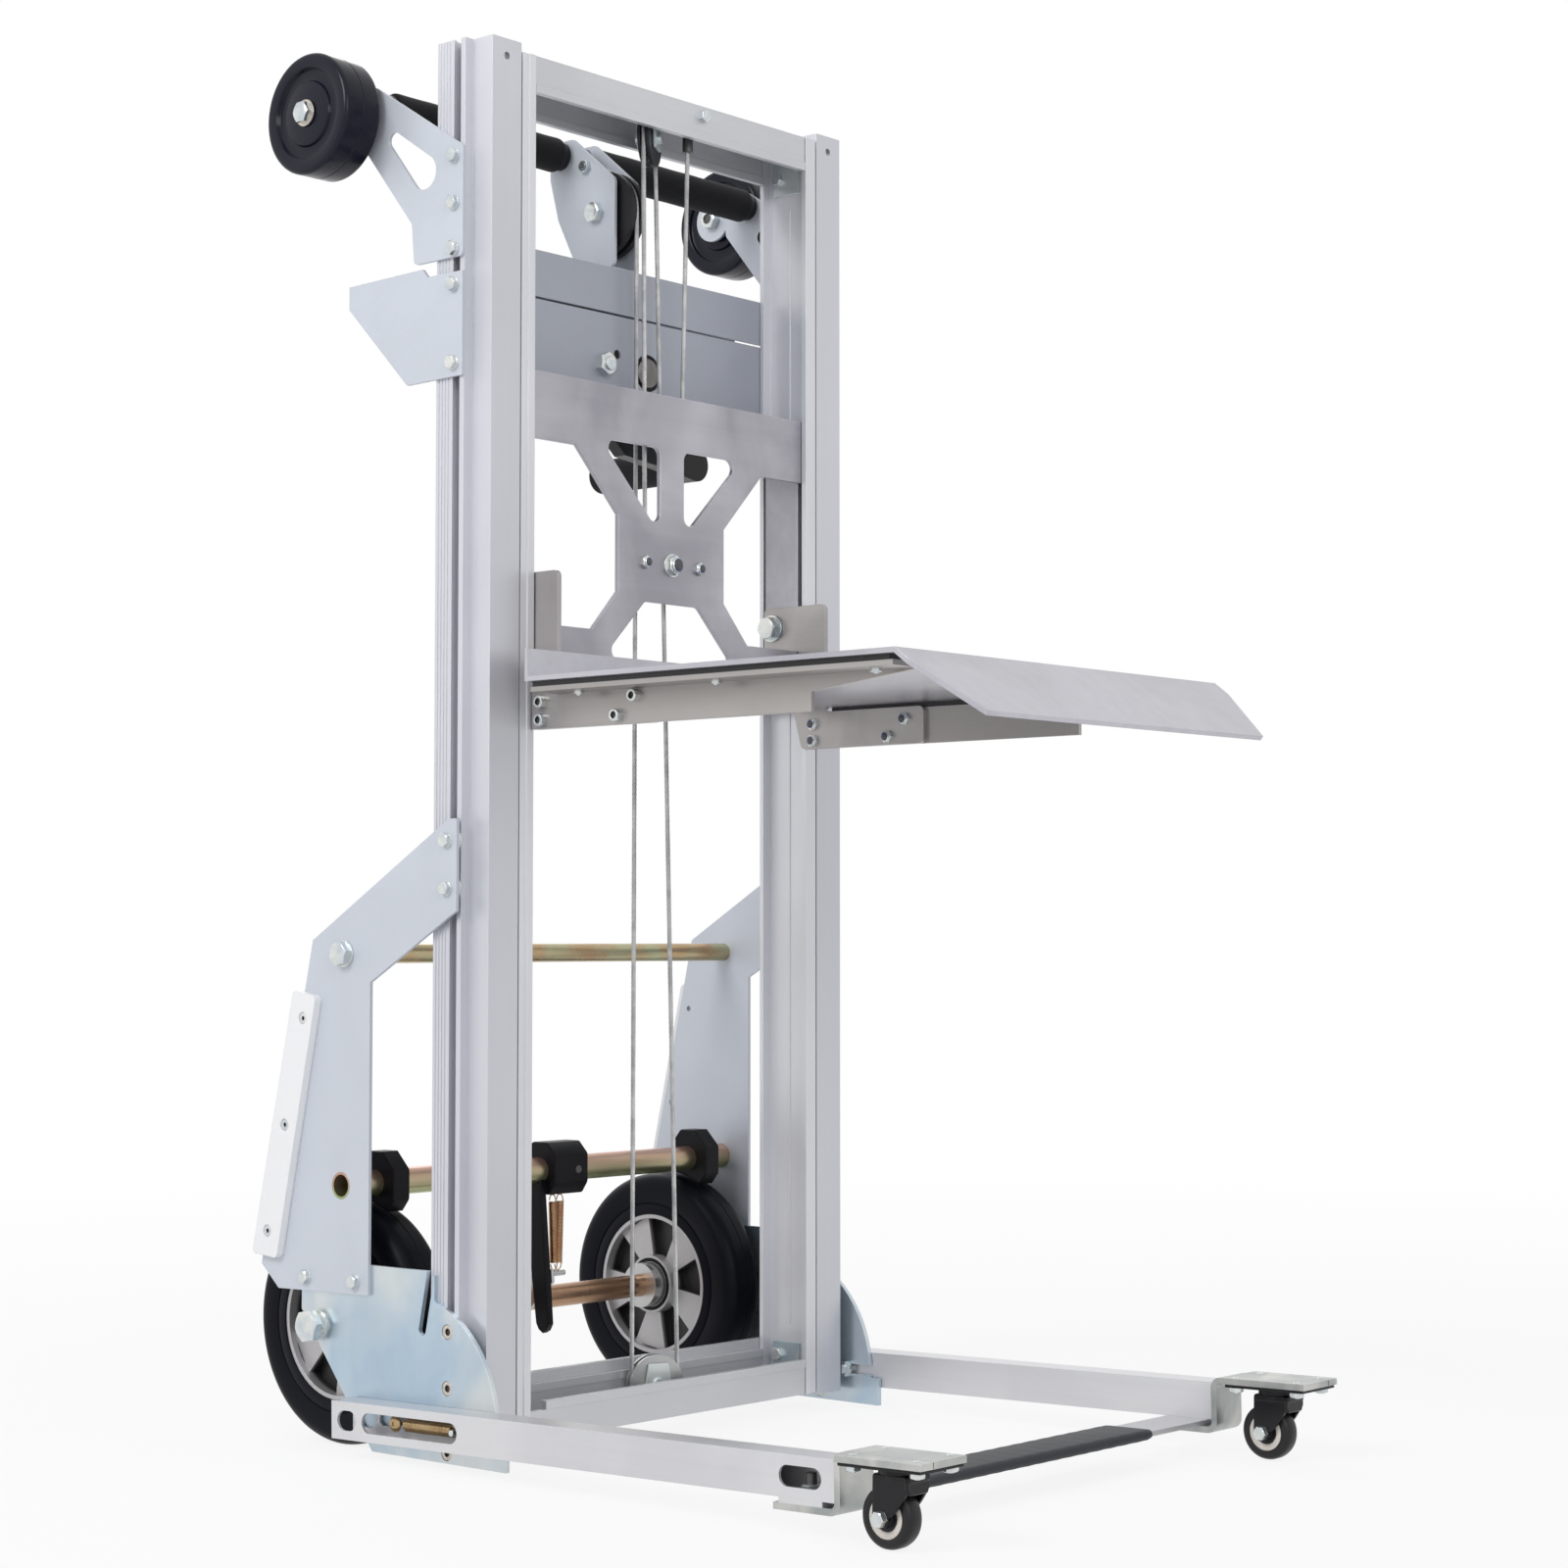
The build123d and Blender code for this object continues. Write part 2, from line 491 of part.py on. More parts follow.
# Handle tube between the brackets with two foam grips
bracket_x = (HEAD_X - 16, HEAD_X + 16)
handle = rod_x(-COL_OUT, COL_OUT, *HANDLE, HANDLE_R)
handle -= rod_x(-COL_OUT, COL_OUT, *HANDLE, HANDLE_R - HANDLE_WALL)
put("handle_tube", handle)


def foam(x0, x1):
    return rod_x(x0, x1, *HANDLE, GRIP_R) - rod_x(x0, x1, *HANDLE, HANDLE_R)


put("handle_grips", foam(-COL_OUT + 8, bracket_x[0] - 6), foam(bracket_x[1] + 6, COL_OUT - 8))

# Transport wheels: solid rollers with stepped faces, each on a bolt
wheel_in = plate_out + 5
wheel_out = wheel_in + 38
roller = rod_x(wheel_in, wheel_out, *TOP_WHEEL, TOP_WHEEL_R)
roller = fillet(roller.edges().filter_by(GeomType.CIRCLE), 5)
roller -= rod_x(wheel_out - 4, wheel_out, *TOP_WHEEL, 36)
roller += rod_x(wheel_out - 4, wheel_out - 1, *TOP_WHEEL, 26)
roller += rod_x(wheel_in - 4.5, wheel_in, *TOP_WHEEL, 12)
roller -= rod_x(wheel_in - 5, wheel_out + 1, *TOP_WHEEL, 5 + RUN)
put("top_wheel_right", roller)
put("top_wheel_left", flip(roller))
wheel_bolt = rod_x(COL_OUT - 8, wheel_out + 1, *TOP_WHEEL, 5)
wheel_bolt += hex_x(COL_OUT - 8, COL_OUT, *TOP_WHEEL, 16)
wheel_bolt += rod_x(wheel_out - 1 + SEAT, wheel_out + 1, *TOP_WHEEL, 11)
wheel_bolt += hex_x(wheel_out + 1, wheel_out + 7, *TOP_WHEEL, 16)
put("top_wheel_brackets", *both(head))

# Winch plates: two sides on the columns, a front panel and a channel above it
wall_y = COL_D + 2.0
WINCH_Z = COL_H - 273    # lower edge of the winch plates
WINCH_H = 84.0
winch_top = WINCH_Z + WINCH_H
winch_side = plate_yz([(21, winch_top), (62, winch_top), (68, winch_top + 7), (WINCH_REAR, winch_top + 5),
                       (WINCH_REAR, winch_top - 14), (86, WINCH_Z - 1), (21, WINCH_Z)], COL_OUT, plate_out)
for z in BOLT_Z["winch"]:
    winch_side -= rod_x(COL_OUT - 1, plate_out + 1, SLOT_Y, z, 4)
put("winch_side_plates", *both(winch_side))
panel = box(-COL_OUT, COL_OUT, COL_D, wall_y, WINCH_Z, winch_top)
panel -= rod_y(COL_D - 1, wall_y + 1, *DRUM, 6)
panel -= rod_y(COL_D - 1, wall_y + 1, CRANK_X, DRUM[1], 16)
panel -= rod_y(COL_D - 1, wall_y + 1, DRUM[0] + 17, DRUM[1] + 11, 4)
put("winch_front_panel", panel)
channel_half = COL_IN - 1
channel_rear = 99.0
channel_z = winch_top + 2
CHANNEL_TOP = winch_top + 41
channel = box(-channel_half - 20, channel_half + 20, COL_D, wall_y, channel_z, CHANNEL_TOP)
channel += box(-channel_half, channel_half, COL_D, channel_rear, CHANNEL_TOP - 2, CHANNEL_TOP)
channel += box(-channel_half, channel_half, channel_rear - 2, channel_rear, channel_z + 7, CHANNEL_TOP)
put("winch_top_channel", channel)

# Winch frame: a square box of plate behind the panel that carries drum and crank shaft
FRAME = (-86.0, 74.0, wall_y, 149.0, WINCH_Z + 2, winch_top - 6)
frame = box(*FRAME) - box(FRAME[0] + 3, FRAME[1] - 3, FRAME[2] + 3, FRAME[3] - 3, FRAME[4] - 1, FRAME[5] + 1)
frame -= rod_y(FRAME[2] - 1, FRAME[3] + 1, *DRUM, 6)
frame -= rod_y(FRAME[2] - 1, FRAME[3] + 1, CRANK_X, DRUM[1], 8 + RUN)
put("winch_frame", frame)

# Drum with toothed rim, turning on its axle bolt
gear_y = (FRAME[2] + 5, FRAME[2] + 13)
drum_y = (gear_y[1], FRAME[3] - 5)


def gear(teeth, width, phase):
    """Gear about Z with straight-sided teeth and plain backlash."""
    r = MODULE * teeth / 2
    step = 2 * math.pi / teeth
    points = []
    for i in range(teeth):
        a = phase + i * step
        for radius, share in ((r - 1.15 * MODULE, -0.29), (r + 0.8 * MODULE, -0.11),
                              (r + 0.8 * MODULE, 0.11), (r - 1.15 * MODULE, 0.29)):
            b = a + share * step
            points.append((radius * math.cos(b), radius * math.sin(b)))
    return extrude(make_face(Polyline(*points, close=True)), width)


def lay_y(shape, x, y, z):
    """Turn a shape made about Z so that its axis runs along +Y."""
    return Pos(x, y, z) * Rot(-90, 0, 0) * shape


drum = rod_y(drum_y[0], drum_y[1], *DRUM, 25.5)
drum += rod_y(drum_y[0], drum_y[0] + 3, *DRUM, 39)
drum += rod_y(drum_y[1] - 3, drum_y[1], *DRUM, 37)
drum += lay_y(gear(GEAR_N, gear_y[1] - gear_y[0], math.pi / GEAR_N), DRUM[0], gear_y[0], DRUM[1])
drum += rod_y(FRAME[2] + 3 + SEAT, drum_y[0], *DRUM, 12)
drum += rod_y(drum_y[1], FRAME[3] - 3 - SEAT, *DRUM, 12)
drum -= rod_y(FRAME[2], FRAME[3], *DRUM, 6 + RUN)
put("cable_drum", drum)
drum_axle = rod_y(COL_D - 10, FRAME[3] + 3, *DRUM, 6)
drum_axle += hex_y(COL_D - 8, COL_D, *DRUM, 18)
drum_axle += hex_y(FRAME[3], FRAME[3] + 7.5, *DRUM, 18)

# Crank shaft with pinion; the shaft's front end shows as a disc in the panel's hole
shaft = rod_y(wall_y, 174, CRANK_X, DRUM[1], 8)
shaft += rod_y(COL_D - 0.5, wall_y, CRANK_X, DRUM[1], 12.5)
pinion = lay_y(gear(PINION_N, gear_y[1] - gear_y[0] + 2, math.pi), CRANK_X, gear_y[0] - 1, DRUM[1])
put("crank_shaft", shaft + pinion)
ARM_Y = (WINCH_REAR + 4, WINCH_REAR + 18)
arm = plate_xz([(CRANK_X - 4, DRUM[1] + 19), (CRANK_END[0], CRANK_END[1] + 16),
                (CRANK_END[0], CRANK_END[1] - 16), (150, CRANK_END[1] - 8),
                (105, CRANK_END[1] - 3), (90, CRANK_END[1] + 10),
                (CRANK_X + 4, DRUM[1] - 19)], *ARM_Y, 3)
arm += rod_y(*ARM_Y, CRANK_X, DRUM[1], 20)
arm += rod_y(*ARM_Y, *CRANK_END, 16)
arm -= rod_y(ARM_Y[0] - 1, ARM_Y[1] + 1, CRANK_X, DRUM[1], 8)
PIN_END = 288.5
arm += rod_y(ARM_Y[1], PIN_END, *CRANK_END, 5)
arm += rod_y(PIN_END, PIN_END + 2.5, *CRANK_END, 8)
put("crank_arm", arm)
knob = rod_y(ARM_Y[1] + SEAT, PIN_END - SEAT, *CRANK_END, 16)
knob = fillet(knob.edges().filter_by(GeomType.CIRCLE), 5)
put("crank_grip", knob - rod_y(ARM_Y[1], PIN_END, *CRANK_END, 5 + RUN))

# Head pulley between two plates that stand on the channel and clasp the handle tube
plate_x = (HEAD_X - 15, HEAD_X - 12)
jaw_z = CHANNEL_TOP + 2
jaw_top = HANDLE[1] + 13
jaw = plate_yz([(54, jaw_z), (54, jaw_top - 42), (104, jaw_top), (132, jaw_top), (132, jaw_top - 32),
                (122, HEAD_PULLEY[1]), (97, jaw_z)], *plate_x, 6)
jaw += box(plate_x[0], plate_x[1], 58, channel_rear - 2, CHANNEL_TOP, CHANNEL_TOP + 13)
jaw -= rod_x(plate_x[0] - 1, plate_x[1] + 1, *HANDLE, HANDLE_R)
jaw -= rod_x(plate_x[0] - 1, plate_x[1] + 1, *HEAD_PULLEY, AXLE_P)
KEEPER = (HEAD_PULLEY[0] + 12, HEAD_PULLEY[1] + 42)
jaw -= rod_x(plate_x[0] - 1, plate_x[1] + 1, *KEEPER, 3)
far_jaw = Pos(2 * HEAD_X, 0, 0) * flip(jaw)
base = box(plate_x[1], 2 * HEAD_X - plate_x[1], 58, 66, CHANNEL_TOP, CHANNEL_TOP + 2.5)
put("pulley_bracket", jaw + far_jaw + base)
big_pulley = pulley(HEAD_PITCH, HEAD_PITCH + 3, 16, AXLE_P + RUN)
put("head_pulley", Pos(HEAD_X, *HEAD_PULLEY) * Rot(0, 90, 0) * big_pulley)
axle_x = (plate_x[0], 2 * HEAD_X - plate_x[0])
head_axle = rod_x(axle_x[0] - 2, axle_x[1] + 8, *HEAD_PULLEY, AXLE_P)
head_axle += hex_x(axle_x[0] - 7, axle_x[0], *HEAD_PULLEY, 16)
head_axle += hex_x(axle_x[1], axle_x[1] + 6, *HEAD_PULLEY, 16)
for x0, x1 in ((plate_x[1], HEAD_X - 8 - SEAT), (HEAD_X + 8 + SEAT, 2 * HEAD_X - plate_x[1])):
    head_axle += rod_x(x0, x1, *HEAD_PULLEY, 9)
keeper = rod_x(axle_x[0] - 6, axle_x[1] + 6, *KEEPER, 3)
keeper += hex_x(axle_x[0] - 5, axle_x[0], *KEEPER, 10)
keeper += hex_x(axle_x[1], axle_x[1] + 5, *KEEPER, 10)

# Lower side plates, outside the cam plates, with plastic skids on their rear edges
cam_out = COL_OUT + CAM_T
side_out = cam_out + PLATE_T
side = plate_yz([(29, 494), (20, 494), (20, 421), (121, 364), (121, 113), (232, 111), (254, 130), (192, 398)],
                cam_out, side_out)
side -= rod_x(cam_out - 1, side_out + 1, *BRAKE, BRAKE_R + RUN)
side -= rod_x(cam_out - 1, side_out + 1, *TIE, 6)
SKID_T = 7.0
skid = plate_yz([(208, 357), (180, 352), (227, 136), (258, 139)], side_out, side_out + SKID_T, 4)
SKID_SCREWS = ((196.0, 334.0), (218.0, 246.0), (239.0, 158.0))
plate_screws = []
for y, z in SKID_SCREWS:
    hole = rod_x(cam_out - 1, side_out + SKID_T + 1, y, z, 2.5)
    side -= hole
    skid -= hole + rod_x(side_out + SKID_T - 2.5, side_out + SKID_T + 1, y, z, 5)
    screw = rod_x(cam_out, side_out + SKID_T - 1, y, z, 2.5)
    screw += rod_x(side_out + SKID_T - 2.5, side_out + SKID_T - 0.5, y, z, 5)
    plate_screws += both(screw)

# Cam plates: a quarter disc about the leg pivot with one notch for each leg position
FOLD = 77.0             # angle between the two leg positions
STOP_Y = -36.0
FOOT_Z = -11.0


def tilt(shape):
    """Turn a level shape about the leg pivot to the legs' slight rise."""
    return Pos(0, *PIVOT) * Rot(-LEG_TILT, 0, 0) * Pos(0, -PIVOT[0], -PIVOT[1]) * shape


cam = rod_x(COL_OUT, cam_out, *PIVOT, CAM_R)
cam = cam & box(COL_OUT, cam_out, STOP_Y - 1, 55, FOOT_Z, 140)
cam += plate_yz([(46, 137), (206, 137), (206, 96), (118, FOOT_Z), (20, FOOT_Z), (20, 100), (46, 110)],
                COL_OUT, cam_out)
cam += box(COL_OUT, cam_out, STOP_Y, 40, FOOT_Z, PIVOT[1] - PIN_R - SEAT)
pin_at = PIVOT[0] - CAM_R + PULL
notch = tilt(slot_yz(COL_OUT - 1, cam_out + 1, STOP_Y - 20, pin_at, PIVOT[1], PIN_R + SEAT))
cam -= notch
turn = Rot(-FOLD, 0, 0)
cam -= Pos(0, *PIVOT) * turn * Pos(0, -PIVOT[0], -PIVOT[1]) * notch
cam -= rod_x(COL_OUT - 1, cam_out + 1, *PIVOT, PIVOT_R)
cam -= rod_x(COL_OUT - 1, cam_out + 1, *WHEEL, 6)
CAM_SCREWS = (91.0, 47.0, -3.0)
for z in CAM_SCREWS:
    cam -= rod_x(COL_OUT - 1, cam_out + 1, SLOT_Y, z, 6)
    screw = rod_x(COL_OUT, cam_out - 0.4, SLOT_Y, z, 6)
    plate_screws += both(screw)
pivot_screw = rod_x(COL_OUT - 5, LEG_X0 + 13, *PIVOT, PIVOT_R)
pivot_screw += hex_x(COL_OUT - 5, COL_OUT, *PIVOT, 16) + rod_x(LEG_X0 + 13, LEG_X0 + 16, *PIVOT, 6.5)
plate_screws += both(pivot_screw)
put("skids", *both(skid))

# Hex bolts in the T-slots and through the lower plates, spacers behind the side plates
hex_bolts = []


def hex_bolt(x, y, z, grip):
    bolt = rod_x(x - grip, x + 1, y, z, 4) + rod_x(x, x + 1, y, z, 5.8)
    return bolt + hex_x(x + 1, x + 5.4, y, z, 10)


for z in BOLT_Z["head"]:
    hex_bolts += both(hex_bolt(plate_out, SLOT_Y, z, PLATE_T + 2))
for z in BOLT_Z["winch"]:
    hex_bolts += both(hex_bolt(plate_out, SLOT_Y, z, PLATE_T + 2))
for z in BOLT_Z["side"]:
    spacer = rod_x(COL_OUT, cam_out, SLOT_Y, z, 10) - rod_x(COL_OUT, cam_out, SLOT_Y, z, 4)
    hex_bolts += both(hex_bolt(side_out, SLOT_Y, z, PLATE_T + CAM_T + 2)) + both(spacer)
    side -= rod_x(cam_out - 1, side_out + 1, SLOT_Y, z, 4)
for y in (197.0, 137.0):
    side -= rod_x(cam_out - 1, side_out + 1, y, 123, 4)
    cam -= rod_x(COL_OUT - 1, cam_out + 1, y, 123, 4)
    bolt = hex_bolt(side_out, y, 123, PLATE_T + CAM_T + 6) + hex_x(COL_OUT - 6, COL_OUT, y, 123, 13)
    hex_bolts += both(bolt)
tie_bolt = rod_x(cam_out, side_out + 1, *TIE, 6) + rod_x(side_out, side_out + 2, *TIE, 11)
hex_bolts += both(tie_bolt + hex_x(side_out + 2, side_out + 9, *TIE, 18))
axle_bolt = rod_x(COL_OUT, cam_out + 1, *WHEEL, 6) + rod_x(cam_out, cam_out + 3, *WHEEL, 12)
axle_bolt += hex_x(cam_out + 3, cam_out + 14, *WHEEL, 24)
hex_bolts += both(axle_bolt)
put("side_plates", *both(side))
put("cam_plates", *both(cam))
put("frame_bolts", *hex_bolts, *plate_screws, *both(wheel_bolt), drum_axle, head_axle, keeper)

# Tie rod and wheel axle; set collars and spacers keep the wheels in place
put("tie_rod", rod_x(-cam_out, cam_out, *TIE, TIE_R))
wheel_end = WHEEL_X0 + WHEEL_W
axle = rod_x(-COL_OUT, COL_OUT, *WHEEL, AXLE_R)
collar = rod_x(WHEEL_X0 - 14, WHEEL_X0 - SEAT, *WHEEL, 20) - rod_x(WHEEL_X0 - 15, WHEEL_X0, *WHEEL, AXLE_R)
spacer = rod_x(wheel_end + SEAT, COL_OUT, *WHEEL, 15) - rod_x(wheel_end, COL_OUT + 1, *WHEEL, AXLE_R)
SPRING_X = (3.0, 12.0)
SPRING_Y = 148.0
eye_top = 112.0
EYE_X = (-4.0, -1.0)
EYE_PIN_R = 2.5
eye = rod_x(*EYE_X, *WHEEL, 16)
eye += plate_yz([(190, 99), (SPRING_Y + 3, eye_top + 2), (SPRING_Y - 6, eye_top + 2),
                 (SPRING_Y - 7, eye_top - 9), (176, 71)], *EYE_X)
eye += rod_x(EYE_X[0], SPRING_X[1] + 5, SPRING_Y, eye_top - EYE_PIN_R, EYE_PIN_R)
eye -= rod_x(EYE_X[0] - 1, EYE_X[1] + 1, *WHEEL, AXLE_R)
put("wheel_axle", axle, *both(collar), *both(spacer), eye)

# Rear wheels: aluminium hub with five fan-shaped spokes on a web, rubber tyre with rounded shoulders
wheel_mid = WHEEL_X0 + WHEEL_W / 2
SPOKES = 5
SPOKE_T = 27.0
WEB_T = 6.0
BOSS_R = 26.0
RIM_T = 3.5
SPOKE_AT = {"right": 62.0, "left": 42.0}
rim_in = RIM_R - RIM_T
hub = rod_x(WHEEL_X0 + 3, wheel_end - 3, *WHEEL, RIM_R) - rod_x(WHEEL_X0, wheel_end, *WHEEL, rim_in)
hub += rod_x(wheel_mid - WEB_T / 2, wheel_mid + WEB_T / 2, *WHEEL, RIM_R - 1)
hub += rod_x(WHEEL_X0, wheel_end, *WHEEL, BOSS_R)
half_fan = math.pi / (2 * SPOKES)
fan = []
for radius, way in ((BOSS_R - 2, -1), (rim_in + 2, -1), (rim_in + 2, 1), (BOSS_R - 2, 1)):
    fan.append((radius * math.cos(half_fan), way * radius * math.sin(half_fan)))
spoke = plate_yz(fan, wheel_mid - SPOKE_T / 2, wheel_mid + SPOKE_T / 2)
tyre = rod_x(WHEEL_X0 + 2, wheel_end - 2, *WHEEL, WHEEL_R)
tyre = fillet(tyre.edges().filter_by(GeomType.CIRCLE), 12) - rod_x(WHEEL_X0, wheel_end, *WHEEL, RIM_R)
for name, make in (("right", lambda s: s), ("left", flip)):
    spoked = hub
    for i in range(SPOKES):
        spoked += Pos(0, *WHEEL) * Rot(SPOKE_AT[name] + 360 * i / SPOKES, 0, 0) * spoke
    spoked -= rod_x(WHEEL_X0 - 1, wheel_end + 1, *WHEEL, AXLE_R + RUN)
    put(f"wheel_hub_{name}", make(spoked))
    put(f"tyre_{name}", make(tyre))

# Brake: tube that turns in the side plates, shoes over the tyres, foot lever and springs
brake_tube = rod_x(-side_out, side_out, *BRAKE, BRAKE_R) - rod_x(-side_out, side_out, *BRAKE, BRAKE_R - 2)
put("brake_tube", brake_tube)
SHOE_X = (wheel_mid - 21, wheel_mid + 21)
SHOE_SHIFT = 9.0        # both shoes sit this far to the left on the tube
shoe = plate_yz([(145, 225), (164, 225), (175, 212), (175, 188), (168, 168), (146, 168), (132, 186),
                 (132, 211)], *SHOE_X, 2)
shoe -= rod_x(*SHOE_X, *WHEEL, WHEEL_R + 3) + rod_x(*SHOE_X, *BRAKE, BRAKE_R)
BLOCK_Z = 178.0
BLOCK_X = (-6.0, 35.0)
lever = plate_yz([(147, 223), (164, 223), (174, 212), (174, 188), (165, BLOCK_Z), (143, BLOCK_Z), (136, 188),
                  (136, 212)], *BLOCK_X, 2)
lever -= rod_y(130, 142, BLOCK_X[1] - 12, BRAKE[1], 3)
lever += plate_yz([(148, 200), (166, 200), (158, 110), (152, 66), (144, 60), (136, 66), (140, 110)],
                  BLOCK_X[0] - 7, BLOCK_X[0], 3)
lever -= rod_x(BLOCK_X[0] - 20, BLOCK_X[1] + 6, *BRAKE, BRAKE_R)
put("brake_blocks", *[Pos(-SHOE_SHIFT, 0, 0) * one for one in both(shoe)], lever)
return_spring = coil(3.2, BLOCK_Z - eye_top - 2 * SEAT, 20, 0.6)
put("brake_springs", *[Pos(x, SPRING_Y, eye_top + SEAT) * return_spring for x in SPRING_X])

# Legs: rectangular tubes that pivot on the cam plates; drawn level, then tilted
leg_z0 = PIVOT[1] - LEG_H / 2
leg_z1 = PIVOT[1] + LEG_H / 2
leg_x1 = LEG_X0 + LEG_W
leg = box(LEG_X0, leg_x1, LEG_FRONT, LEG_REAR, leg_z0, leg_z1)
leg -= box(LEG_X0 + LEG_WALL, leg_x1 - LEG_WALL, LEG_FRONT - 1, LEG_REAR + 1,
           leg_z0 + LEG_WALL, leg_z1 - LEG_WALL)
leg -= slot_yz(LEG_X0 - 1, leg_x1 + 1, 117, 123, PIVOT[1], 8)
leg -= slot_yz(leg_x1 - LEG_WALL - 1, leg_x1 + 1, pin_at, PIVOT[0] + PULL - 7, PIVOT[1], 8)
leg -= slot_yz(LEG_X0 - 1, LEG_X0 + LEG_WALL + 1, PIVOT[0], PIVOT[0] + PULL, PIVOT[1], PIVOT_R + RUN)
leg -= slot_yz(leg_x1 - LEG_WALL - 1, leg_x1 + 1, -368, -344, PIVOT[1], 7.5)
FOOT_Y = -356.0
leg_mid = LEG_X0 + LEG_W / 2
leg -= rod_z(leg_z0 - 1, leg_z0 + LEG_WALL + 1, leg_mid, FOOT_Y, 4)
leg -= rod_x(LEG_X0 - 1, LEG_X0 + LEG_WALL + 1, pin_at, PIVOT[1], 2.5)
put("legs", *both(tilt(leg)))

# Cross bar under the leg ends with a rubber sleeve in the middle
BAR_T = 4.0
bar = box(-leg_x1, leg_x1, FOOT_Y - 20, FOOT_Y + 20, leg_z0 - BAR_T, leg_z0)
for sign in (-1, 1):
    bar -= rod_z(leg_z0 - BAR_T - 1, leg_z0 + 1, sign * leg_mid, FOOT_Y, 4)
sleeve = box(-146, 146, FOOT_Y - 23, FOOT_Y + 23, leg_z0 - BAR_T - 2.5, leg_z0 + 2.5)
sleeve = fillet(sleeve.edges().filter_by(Axis.X), 2)
put("cross_bar", tilt(bar))
put("cross_bar_sleeve", tilt(sleeve - box(-147, 147, FOOT_Y - 20, FOOT_Y + 20, leg_z0 - BAR_T, leg_z0)))

# End brackets bent from strip: under the leg, up its end, then forward over the caster
STRIP_T = 5.0
shelf_z = leg_z1 + 1.0
under_z = leg_z0 - BAR_T - STRIP_T
end_y = LEG_FRONT - STRIP_T
FOLD_GAP = 1.5          # between a folded end bracket and the column beside it
bracket_x0 = COL_STEP + FOLD_GAP
bracket = box(bracket_x0, leg_x1, end_y, FOOT_Y + 25, under_z, under_z + STRIP_T)
bracket += box(bracket_x0, leg_x1, end_y, LEG_FRONT, under_z, shelf_z + STRIP_T)
PLATE_Y = (CASTER[1] - 38, CASTER[1] + 38)
bracket += box(bracket_x0, CASTER[0] + 27, PLATE_Y[0], LEG_FRONT, shelf_z, shelf_z + STRIP_T)
bracket -= rod_z(under_z - 1, under_z + STRIP_T + 1, leg_mid, FOOT_Y, 4)
caster_bolts = []
for dx in (-18, 18):
    for dy in (-28, 28):
        at = (CASTER[0] + dx, CASTER[1] + dy)
        bracket -= rod_z(shelf_z - 1, shelf_z + STRIP_T + 1, *at, 3)
        bolt = rod_z(shelf_z - 10, shelf_z + STRIP_T, *at, 3)
        bolt += rod_z(shelf_z + STRIP_T, shelf_z + STRIP_T + 2, *at, 5)
        caster_bolts.append(bolt + hex_z(shelf_z - 8, shelf_z - 2.5, *at, 10))
put("leg_end_brackets", *both(tilt(bracket)))

# Casters: fixed plate, swivel fork on a king pin, wheel on a cross bolt
KING_R = 5.0
mount = box(bracket_x0 + 1, CASTER[0] + 25, CASTER[1] - 36, CASTER[1] + 36, shelf_z - 2.5, shelf_z)
mount += rod_z(shelf_z - 7, shelf_z - 2.5, *CASTER, 16)
king_z = shelf_z - 12 - 2 * SEAT        # upper face of the king pin's head, under the fork
mount += rod_z(king_z, shelf_z - 7, *CASTER, KING_R) + rod_z(king_z - 1.8, king_z, *CASTER, 7)
for dx in (-18, 18):
    for dy in (-28, 28):
        mount -= rod_z(shelf_z - 4, shelf_z + 1, CASTER[0] + dx, CASTER[1] + dy, 3)
put("caster_plates", *both(tilt(mount)))
caster_y = CASTER[1] + CASTER_TRAIL
slope = math.radians(LEG_TILT)
drop = CASTER_R - COL_FOOT - PIVOT[1] - (PIVOT[0] - caster_y) * math.sin(slope)
caster_z = PIVOT[1] + drop / math.cos(slope)
fork_top = shelf_z - 7 - SEAT
FORK_IN = 9.5
fork = box(CASTER[0] - 14, CASTER[0] + 14, CASTER[1] - 16, CASTER[1] + 16, fork_top - 5, fork_top)
fork = fillet(fork.edges().filter_by(Axis.Z), 10)
for sign in (-1, 1):
    x0, x1 = sorted((CASTER[0] + sign * FORK_IN, CASTER[0] + sign * (FORK_IN + 3)))
    fork += plate_yz([(CASTER[1] - 13, fork_top), (CASTER[1] + 13, fork_top), (caster_y + 8, caster_z - 6),
                      (caster_y - 5, caster_z - 6)], x0, x1, 2)
fork -= rod_z(fork_top - 6, fork_top + 1, *CASTER, KING_R + RUN)
fork += rod_x(CASTER[0] - 15, CASTER[0] + 15, caster_y, caster_z, 3)
for x0, x1 in ((CASTER[0] + 12.5, CASTER[0] + 17.5), (CASTER[0] - 17.5, CASTER[0] - 12.5)):
    fork += hex_x(x0, x1, caster_y, caster_z, 10)
castor_wheel = rod_x(CASTER[0] - 8, CASTER[0] + 8, caster_y, caster_z, CASTER_R)
castor_wheel = fillet(castor_wheel.edges().filter_by(GeomType.CIRCLE), 4)
castor_wheel += rod_x(CASTER[0] - FORK_IN + SEAT, CASTER[0] + FORK_IN - SEAT, caster_y, caster_z, 6)
castor_wheel -= rod_x(CASTER[0] - 12, CASTER[0] + 12, caster_y, caster_z, 3 + RUN)
for name, make in (("right", lambda s: s), ("left", flip)):
    put(f"caster_fork_{name}", make(tilt(fork)))
    put(f"caster_wheel_{name}", make(tilt(castor_wheel)))

